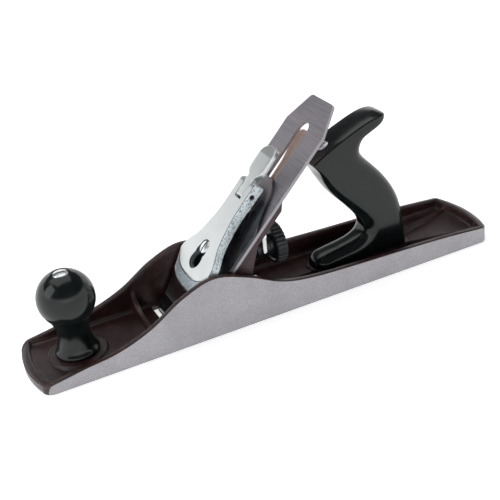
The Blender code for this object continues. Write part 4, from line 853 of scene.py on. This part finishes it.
def cap_grid(sizes):
    """The lever cap as a ring of sections about the keyhole.

    Each section starts at the keyhole's ledge, crosses the top to the outline, rolls over the
    edge, goes down the wall and returns underneath, so that the ring closes both ways. It gives
    the grid and the column where the top ends.
    """
    outline = cap_outline()
    tangent = np.roll(outline, -1, axis=0) - np.roll(outline, 1, axis=0)
    tangent /= np.linalg.norm(tangent, axis=1)[:, None]
    inward = tangent[:, ::-1] * (1, -1)
    inward *= np.sign(np.sum(inward * ((KEY_CENTRE, 0) - outline), axis=1))[:, None]
    edge = 0.3 * MM
    border = outline + inward * edge
    angle = np.arctan2(border[:, 1], border[:, 0] - KEY_CENTRE)

    def ring(wide, narrow):
        radius = keyhole_radius(angle, wide * MM, narrow * MM)
        return np.stack([KEY_CENTRE + radius * np.cos(angle), radius * np.sin(angle)], axis=1)

    def row(plan, height):
        return grid_of(plan[..., 0], plan[..., 1], height)

    hole, ledge, lip = ring(6.8, 5.4), ring(5.4, 3.7), ring(7.0, 5.6)
    walk = np.linspace(0, 1, 600)
    trial = between(lip, border, walk[None, :, None])
    before = trial[..., 0] < front_line(trial[..., 1])
    crease = np.where(before.any(axis=1), walk[np.argmax(before, axis=1)], 1.0)[:, None]
    flat_part = crease * np.linspace(0, 1, 46)[None, :]
    nose_part = crease + (1 - crease) * np.linspace(0, 1, 84)[None, 1:]
    top = between(lip, border, np.concatenate([flat_part, nose_part], axis=1)[..., None])
    height = cap_height(top[..., 0], top[..., 1], sizes)
    rim = height[:, -1:]
    turn = quarter(ARC_STEPS + 1)[None, 1:]
    low = np.interp(outline[:, 0], *UNDERSIDE.T)[:, None]
    drop = np.minimum(edge, (rim - low) * 0.45)
    rolled = border[:, None] - inward[:, None] * (edge * np.sin(turn))[..., None]
    down = np.linspace(0, 1, 9)[None, 1:]
    back = np.linspace(1, 0, 44)[None, 1:-1]
    beneath = between(ledge, outline, back[..., None])
    width = np.linalg.norm(outline - ledge, axis=1)
    facing = np.sum((ledge - outline) * inward, axis=1) / width
    wall = width[:, None] * (1 - back) * facing[:, None]
    s = beneath[..., 0]
    hollow = rise(wall, 2.3 * MM, 2.9 * MM) * rise(s, 43 * MM, 44.5 * MM)
    hollow = hollow * (1 - rise(s, 99 * MM, 100.5 * MM))
    lower = np.interp(s, *UNDERSIDE.T)
    keyhole = zip((ledge, ledge, hole, hole), (10.8, 12.3, 12.3, 13.6))
    rows = [row(plan[:, None], level * MM) for plan, level in keyhole]
    rows += [row(top, height), row(rolled, rim - drop * (1 - np.cos(turn)))]
    rows += [row(outline[:, None], rim - drop + (low - rim + drop) * down)]
    rows += [row(beneath, lower + (10.8 * MM - lower) * hollow)]
    return np.concatenate(rows, axis=1), 4 + top.shape[1]


def make_lever_cap(sizes):
    """The casting from its grid, with the cam's notch and the pin's hole cut through it."""
    grid, top_end = cap_grid(sizes)
    s, y, _ = np.moveaxis((grid + np.roll(grid, -1, axis=1)) / 2, -1, 0)
    along = stretched(s, y)
    column = np.arange(grid.shape[1])
    on_top = (column > 3) & (column < top_end - 2)
    look = np.full(grid.shape[:2], NICKEL)
    look[:, top_end + 3 :] = CAST
    # painted shade: the keyhole's ledge and walls take the darkened shadow finish
    look[:, :3] = SHADOW
    look[(panel_mask(along, y) > 0.5) & on_top] = PANEL
    look[(along < 28.6 * MM) & on_top] = POLISHED
    # painted shade: a thin dark line along the rolled top edge
    look[:, top_end - 1 : top_end + 3] = SHADOW
    finishes = ["nickel", "cast", "panel", "polished", "shadow"]
    piece = skin("lever_cap_casting", [(placed(grid, BED), True, True, look)], finishes, 30)
    notch = np.array([(101.4, -5), (130, -5), (130, 30), (101.4, 30)]) * MM
    turn = np.linspace(0, 2 * np.pi, 32, endpoint=False)
    pin = np.stack([107 + 1.8 * np.cos(turn), 10 + 1.8 * np.sin(turn)], axis=1) * MM
    # painted shade: the cut walls of the notch and the pin hole take the shadow finish
    cam_notch = block("cam_notch", notch, 4.3 * MM, BED, SHADOW)
    carved(piece, cam_notch, block("pin_hole", pin, 30 * MM, BED, SHADOW))
    stands_for(piece, "lever_cap", "nickel", "lever_cap")


def make_cam_lever():
    """Rounded sections carried along the lever: the lobe, a neck and a thumb plate with a bend."""
    x = [-5 * np.cos(np.linspace(0, 1.2, 16)), np.linspace(-1.6, 28.6, 74)]
    x = np.concatenate([*x, np.linspace(29, 36.9, 36), [37.0]])
    crown = np.array([(3.3, 3.7), (11, 3.7), (29, 3.6), (33, 2.9), (36.2, 1.6), (37, -0.6)])
    belly = [(4.4, -2.3), (9, -1.6), (11, -1.3), (16, -0.6), (28, 0.2), (35.4, -1.2), (37, -0.6)]
    wide = [(-5, 3.9), (9, 3.9), (10.6, 4.2), (12, 4.9), (13.6, 6.9), (15.6, 8.6), (18, 9.2)]
    wide = smooth_line([*wide, (21, 9.3), (29, 9.3)], 8)
    lobe = np.sqrt(np.maximum(25 - x**2, 0))
    bulge = 1 + 0.27 * np.exp(-((x / 2.2) ** 2))
    top = np.where(x < 3.3, np.minimum(lobe, 3.7), np.interp(x, *crown.T))
    low = np.where(x < 4.4, -lobe * bulge, np.interp(x, *np.array(belly).T))
    half = np.interp(x, *wide.T) * np.sqrt(1 - np.clip((x - 29) / 8, 0, 1) ** 2)
    angle = np.linspace(0, 2 * np.pi, 96, endpoint=False)[None, :]
    squareness = 0.16
    across, up = (np.sign(v) * np.abs(v) ** squareness for v in (np.cos(angle), np.sin(angle)))
    x, top, low, half = (v[:, None] for v in (x, top, low, half))
    grid = grid_of(x, half * across, (top + low) / 2 + (top - low) / 2 * up) * MM
    place = Matrix.Translation(JOINTS["cam_lever_turn"]["pos_m"]) @ BED.to_3x3().to_4x4()
    piece = skin("cam_lever_plate", [(placed(grid, place), False, True, 0)], ["nickel"], 26)
    stands_for(piece, "cam", "nickel", "cam_lever")


# Tote


def tote_line(grip):
    """The tote from the side as (x, z, rounding) in mm, from the foot's front to its back."""
    runs = [
        (9.5, (1.8, 9.3), (1.9, 11.4), (3.4, 14.6), (7.6, 17.6), (16, 19.2), (27, 20.6)),
        (9.5, (35, 22.0), (40.6, 24.4), (44.0, 27.8)),
        (grip, (44.8, 32.4), (42.2, 37.8), (37.2, 44.4), (30.4, 52.6), (24.4, 59.4), (18.6, 67.2)),
        (7.5, (13.8, 76.0)), (4.0, (10.6, 83.4)), (2.2, (7.2, 88.8)),
        (1.6, (5.6, 91.2), (6.4, 93.2), (12, 96.7), (22, 101.9), (31, 106.0), (40, 109.6)),
        (1.6, (48, 112.4), (55, 114.2), (61, 114.9), (65.0, 114.4), (66.4, 113.0)),
        (1.6, (65.0, 111.3), (61.6, 109.2)),
        (2.6, (56.8, 106.3)), (4.2, (51.6, 103.4)), (6.0, (47.2, 100.2)), (7.6, (44.8, 95.4)),
        (grip, (45.0, 90.2), (48.2, 84.8), (53.8, 78.4), (60.8, 70.2), (66.8, 61.6)),
        (grip, (71.7, 52.6), (74.8, 43.8)),
        (7.5, (76.3, 33.0)), (5.0, (76.9, 20.0)), (4.0, (77.0, 9.3)),
    ]
    return [(*point, rounding) for rounding, *points in runs for point in points]


def make_tote(sizes):
    """Rings across the tote: each is the outline drawn in by a quarter circle's fall.

    The fall's radius changes round the outline, so the grip is round and the crown is crisp. The
    width shrinks as the root of 1 - t * t towards the horn's tip and the toe. The flat sides fill
    the outermost rings.
    """
    foot, half = 9.3, 12.2
    line = evenly(smooth_line(tote_line(sizes.grip_round / MM), 10), 1.0)
    x, z, rounding = line.T
    soft = np.convolve(np.pad(rounding, 3, mode="edge"), np.ones(7) / 7, mode="valid")[:, None]
    longer = np.concatenate([line[:1] - (0, 1, 0), line, line[-1:] - (0, 1, 0)])[:, :2]
    along = longer[2:] - longer[:-2]
    along /= np.linalg.norm(along, axis=1)[:, None]
    turn = np.concatenate([-quarter(12)[::-1], quarter(12)[1:]])[None, :]
    fall = soft * (1 - np.cos(turn))
    y = np.sign(turn) * (half - soft * (1 - np.sin(np.abs(turn))))
    x = x[:, None] + along[:, 1:] * fall
    z = np.maximum(z[:, None] - along[:, :1] * fall, foot)
    horn = rise(z, 96, 103) * np.clip((x - 52) / 14.8, 0, 1) ** 2
    toe = (1 - rise(z, 22, 30)) * np.clip((11 - x) / 10, 0, 1)
    y = y * np.sqrt(1 - 0.93 * horn**2) * np.sqrt(1 - 0.5 * toe**2)
    grid = grid_of(x, y, z).transpose(1, 0, 2) * MM + (TOTE_X, 0, 0)
    piece = skin("tote_moulding", [(grid, False, True, 0)], ["plastic"], 60, flat_ends=True)
    stands_for(piece, "base", "plastic", "tote")


# Studio


def area_light(name, place, aim, size, power):
    light = bpy.data.lights.new(name, "AREA")
    light.shape = "RECTANGLE"
    light.size, light.size_y = size
    light.energy = power
    lamp = linked(name, light)
    lamp.location = place
    lamp.rotation_euler = (Vector(aim) - Vector(place)).to_track_quat("-Z", "Y").to_euler()


def make_studio():
    """A pale floor turned about Z: flat, then a quarter round up to a low wall."""
    scene = bpy.context.scene
    angle = np.linspace(0, 2 * np.pi, 96, endpoint=False)[:, None]
    flat, sweep, turn = 2.4, 0.7, quarter(24)[1:]
    radius = [[0.001, 0.8, 1.6, flat], flat + sweep * np.sin(turn), [flat + sweep] * 2]
    height = [[0, 0, 0, 0], sweep * (1 - np.cos(turn)), [1.0, 1.3]]
    points = along_axis(np.concatenate(radius)[None], np.concatenate(height)[None], angle)
    middle = range(0, points.shape[0] * points.shape[1], points.shape[1])
    faces = [*quads_of(points, True, False, 0).tolist(), list(middle)]
    mesh = bpy.data.meshes.new("studio_floor")
    mesh.from_pydata(points.reshape(-1, 3).tolist(), [], faces)
    mesh.shade_smooth()
    mesh.materials.append(studio_floor(scene.hand_plane_colours.floor))
    floor = linked("studio_floor", mesh)
    floor.location.z = -0.2 * MM
    world = bpy.data.worlds.new("studio")
    world.use_nodes = True
    sky = world.node_tree.nodes["Background"].inputs
    sky["Color"].default_value = (0.93, 0.95, 1, 1)
    sky["Strength"].default_value = 0.12
    scene.world = world
    area_light("overhead", (-0.1, 0.5, 1.5), (0, 0, 0.03), (1.6, 1.4), 9)
    area_light("key", (-1.25, 0.1, 0.95), (0, 0, 0.05), (0.9, 0.9), 5)
    area_light("front", (-0.35, -1.5, 0.55), (0, 0, 0.04), (1.4, 0.5), 0.9)
    lens = bpy.data.cameras.new("camera")
    lens.lens = 72.18
    lens.sensor_width = 36
    lens.clip_start = 0.01
    camera = linked("camera", lens)
    camera.location = (-0.24107, -0.57303, 0.37495)
    aim = Vector((0.33138, 0.81358, -0.47778))
    camera.rotation_mode = "QUATERNION"
    roll = Quaternion((0, 0, 1), radians(-7.214))
    camera.rotation_quaternion = aim.to_track_quat("-Z", "Y") @ roll
    scene.camera = camera
    scene.view_settings.view_transform = "Standard"


# Operators


class HANDPLANE_OT_studio(bpy.types.Operator):
    """Lays the pale floor and sets the lights and the camera"""

    bl_idname = "handplane.studio"
    bl_label = "Studio"

    def execute(self, context):
        make_studio()
        return {"FINISHED"}


class HANDPLANE_OT_body(bpy.types.Operator):
    """Makes the body casting with its ground sides and painted tray"""

    bl_idname = "handplane.body"
    bl_label = "Body casting"

    def execute(self, context):
        make_body_casting(context.scene.hand_plane_sizes)
        return {"FINISHED"}


class HANDPLANE_OT_frog(bpy.types.Operator):
    """Finishes the frog, its screws and its adjusting screw and clip"""

    bl_idname = "handplane.frog"
    bl_label = "Frog and its screws"

    def execute(self, context):
        softened("frog", "frog", 0.5, "paint", "casting")
        for side in ("near", "far"):
            softened(f"frog_screw_{side}", "base", 0.15)
            softened(f"frog_screw_{side}_washer", "base", 0.12)
        softened("frog_adjust_screw", "adjust_screw", 0.15)
        softened("frog_clip", "frog", 0.15, ending="plate")
        softened("frog_clip_screw", "frog", 0.12)
        return {"FINISHED"}


class HANDPLANE_OT_adjusters(bpy.types.Operator):
    """Makes the depth wheel, and finishes its sleeve, stud, yoke and the lateral lever"""

    bl_idname = "handplane.adjusters"
    bl_label = "Depth and lateral adjusters"

    def execute(self, context):
        make_wheel()
        softened("depth_sleeve", "sleeve", 0.2, "enamel")
        softened("depth_stud", "frog", 0.3)
        softened("yoke", "yoke", 0.3, ending="lever")
        softened("yoke_pin", "frog", 0.2)
        # the lever finish's peach tint is a painted warm reflection
        softened("lateral_lever", "lateral_lever", 0.25, "lever", "plate")
        softened("lateral_rivet", "frog", 0.12)
        softened("lateral_roller", "roller", 0.15)
        return {"FINISHED"}


class HANDPLANE_OT_iron(bpy.types.Operator):
    """Finishes the cutting iron, the cap iron and the screw that joins them"""

    bl_idname = "handplane.iron"
    bl_label = "Cutting iron and cap iron"

    def execute(self, context):
        softened("blade", "iron", 0.12, "iron", "ground")
        softened("cap_iron", "iron", 0.3, "cap_steel", "polished")
        softened("cap_iron_screw", "iron_carrier", 0.2)
        return {"FINISHED"}


class HANDPLANE_OT_lever_cap(bpy.types.Operator):
    """Makes the lever cap, its cam lever and screw, and finishes its spring and pins"""

    bl_idname = "handplane.lever_cap"
    bl_label = "Lever cap"

    def execute(self, context):
        make_lever_cap(context.scene.hand_plane_sizes)
        make_cam_lever()
        place = BED @ Matrix.Translation((KEY_HIGH, 0, 0))
        sizes = {"radius": 4.9 * MM, "shank": 3.4 * MM, "depth": 23 * MM}
        make_nut("lever_cap_screw", "frog", place, 14.2 * MM, **sizes)
        softened("cap_spring", "lever_cap", 0.15, ending="leaf")
        softened("spring_rivet", "lever_cap", 0.12)
        softened("cam_pin", "lever_cap", 0.2, "blued")
        return {"FINISHED"}


class HANDPLANE_OT_knob(bpy.types.Operator):
    """Makes the front knob and its slotted nut"""

    bl_idname = "handplane.knob"
    bl_label = "Front knob"

    def execute(self, context):
        make_knob()
        place = Matrix.Translation((KNOB_X, 0, 0))
        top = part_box("knob_nut")[1].z - 1.3 * MM
        make_nut("knob_nut", "base", place, top, 5.3 * MM)
        softened("knob_rod", "base", 0.3)
        return {"FINISHED"}


class HANDPLANE_OT_tote(bpy.types.Operator):
    """Makes the rear tote and its slotted nut"""

    bl_idname = "handplane.tote"
    bl_label = "Rear tote"

    def execute(self, context):
        make_tote(context.scene.hand_plane_sizes)
        lean = Matrix.Rotation(-radians(24), 4, "Y")
        place = Matrix.Translation((TOTE_X + 19.9 * MM, 0, 100.2 * MM)) @ lean
        make_nut("tote_nut", "base", place, 1.0 * MM)
        softened("tote_rod", "base", 0.3)
        return {"FINISHED"}


class HANDPLANE_PT_panel(bpy.types.Panel):
    """Lists the plane's makers, sizes and colours"""

    bl_idname = "HANDPLANE_PT_panel"
    bl_label = "Hand plane"
    bl_space_type = "VIEW_3D"
    bl_region_type = "UI"
    bl_category = "Hand plane"

    def draw(self, context):
        for maker in MAKERS:
            self.layout.operator(maker.bl_idname)
        for group in (context.scene.hand_plane_sizes, context.scene.hand_plane_colours):
            box = self.layout.box()
            for name in group.__annotations__:
                box.prop(group, name)


MAKERS = (
    HANDPLANE_OT_studio,
    HANDPLANE_OT_body,
    HANDPLANE_OT_frog,
    HANDPLANE_OT_adjusters,
    HANDPLANE_OT_iron,
    HANDPLANE_OT_lever_cap,
    HANDPLANE_OT_knob,
    HANDPLANE_OT_tote,
)
CLASSES = (HandPlaneSizes, HandPlaneColours, *MAKERS, HANDPLANE_PT_panel)


def register():
    for cls in CLASSES:
        bpy.utils.register_class(cls)
    bpy.types.Scene.hand_plane_sizes = PointerProperty(type=HandPlaneSizes)
    bpy.types.Scene.hand_plane_colours = PointerProperty(type=HandPlaneColours)


def unregister():
    del bpy.types.Scene.hand_plane_sizes
    del bpy.types.Scene.hand_plane_colours
    for cls in reversed(CLASSES):
        bpy.utils.unregister_class(cls)


def main():
    register()
    bpy.ops.handplane.studio()
    bpy.ops.handplane.body()
    bpy.ops.handplane.frog()
    bpy.ops.handplane.adjusters()
    bpy.ops.handplane.iron()
    bpy.ops.handplane.lever_cap()
    bpy.ops.handplane.knob()
    bpy.ops.handplane.tote()


if __name__ == "__main__":
    main()
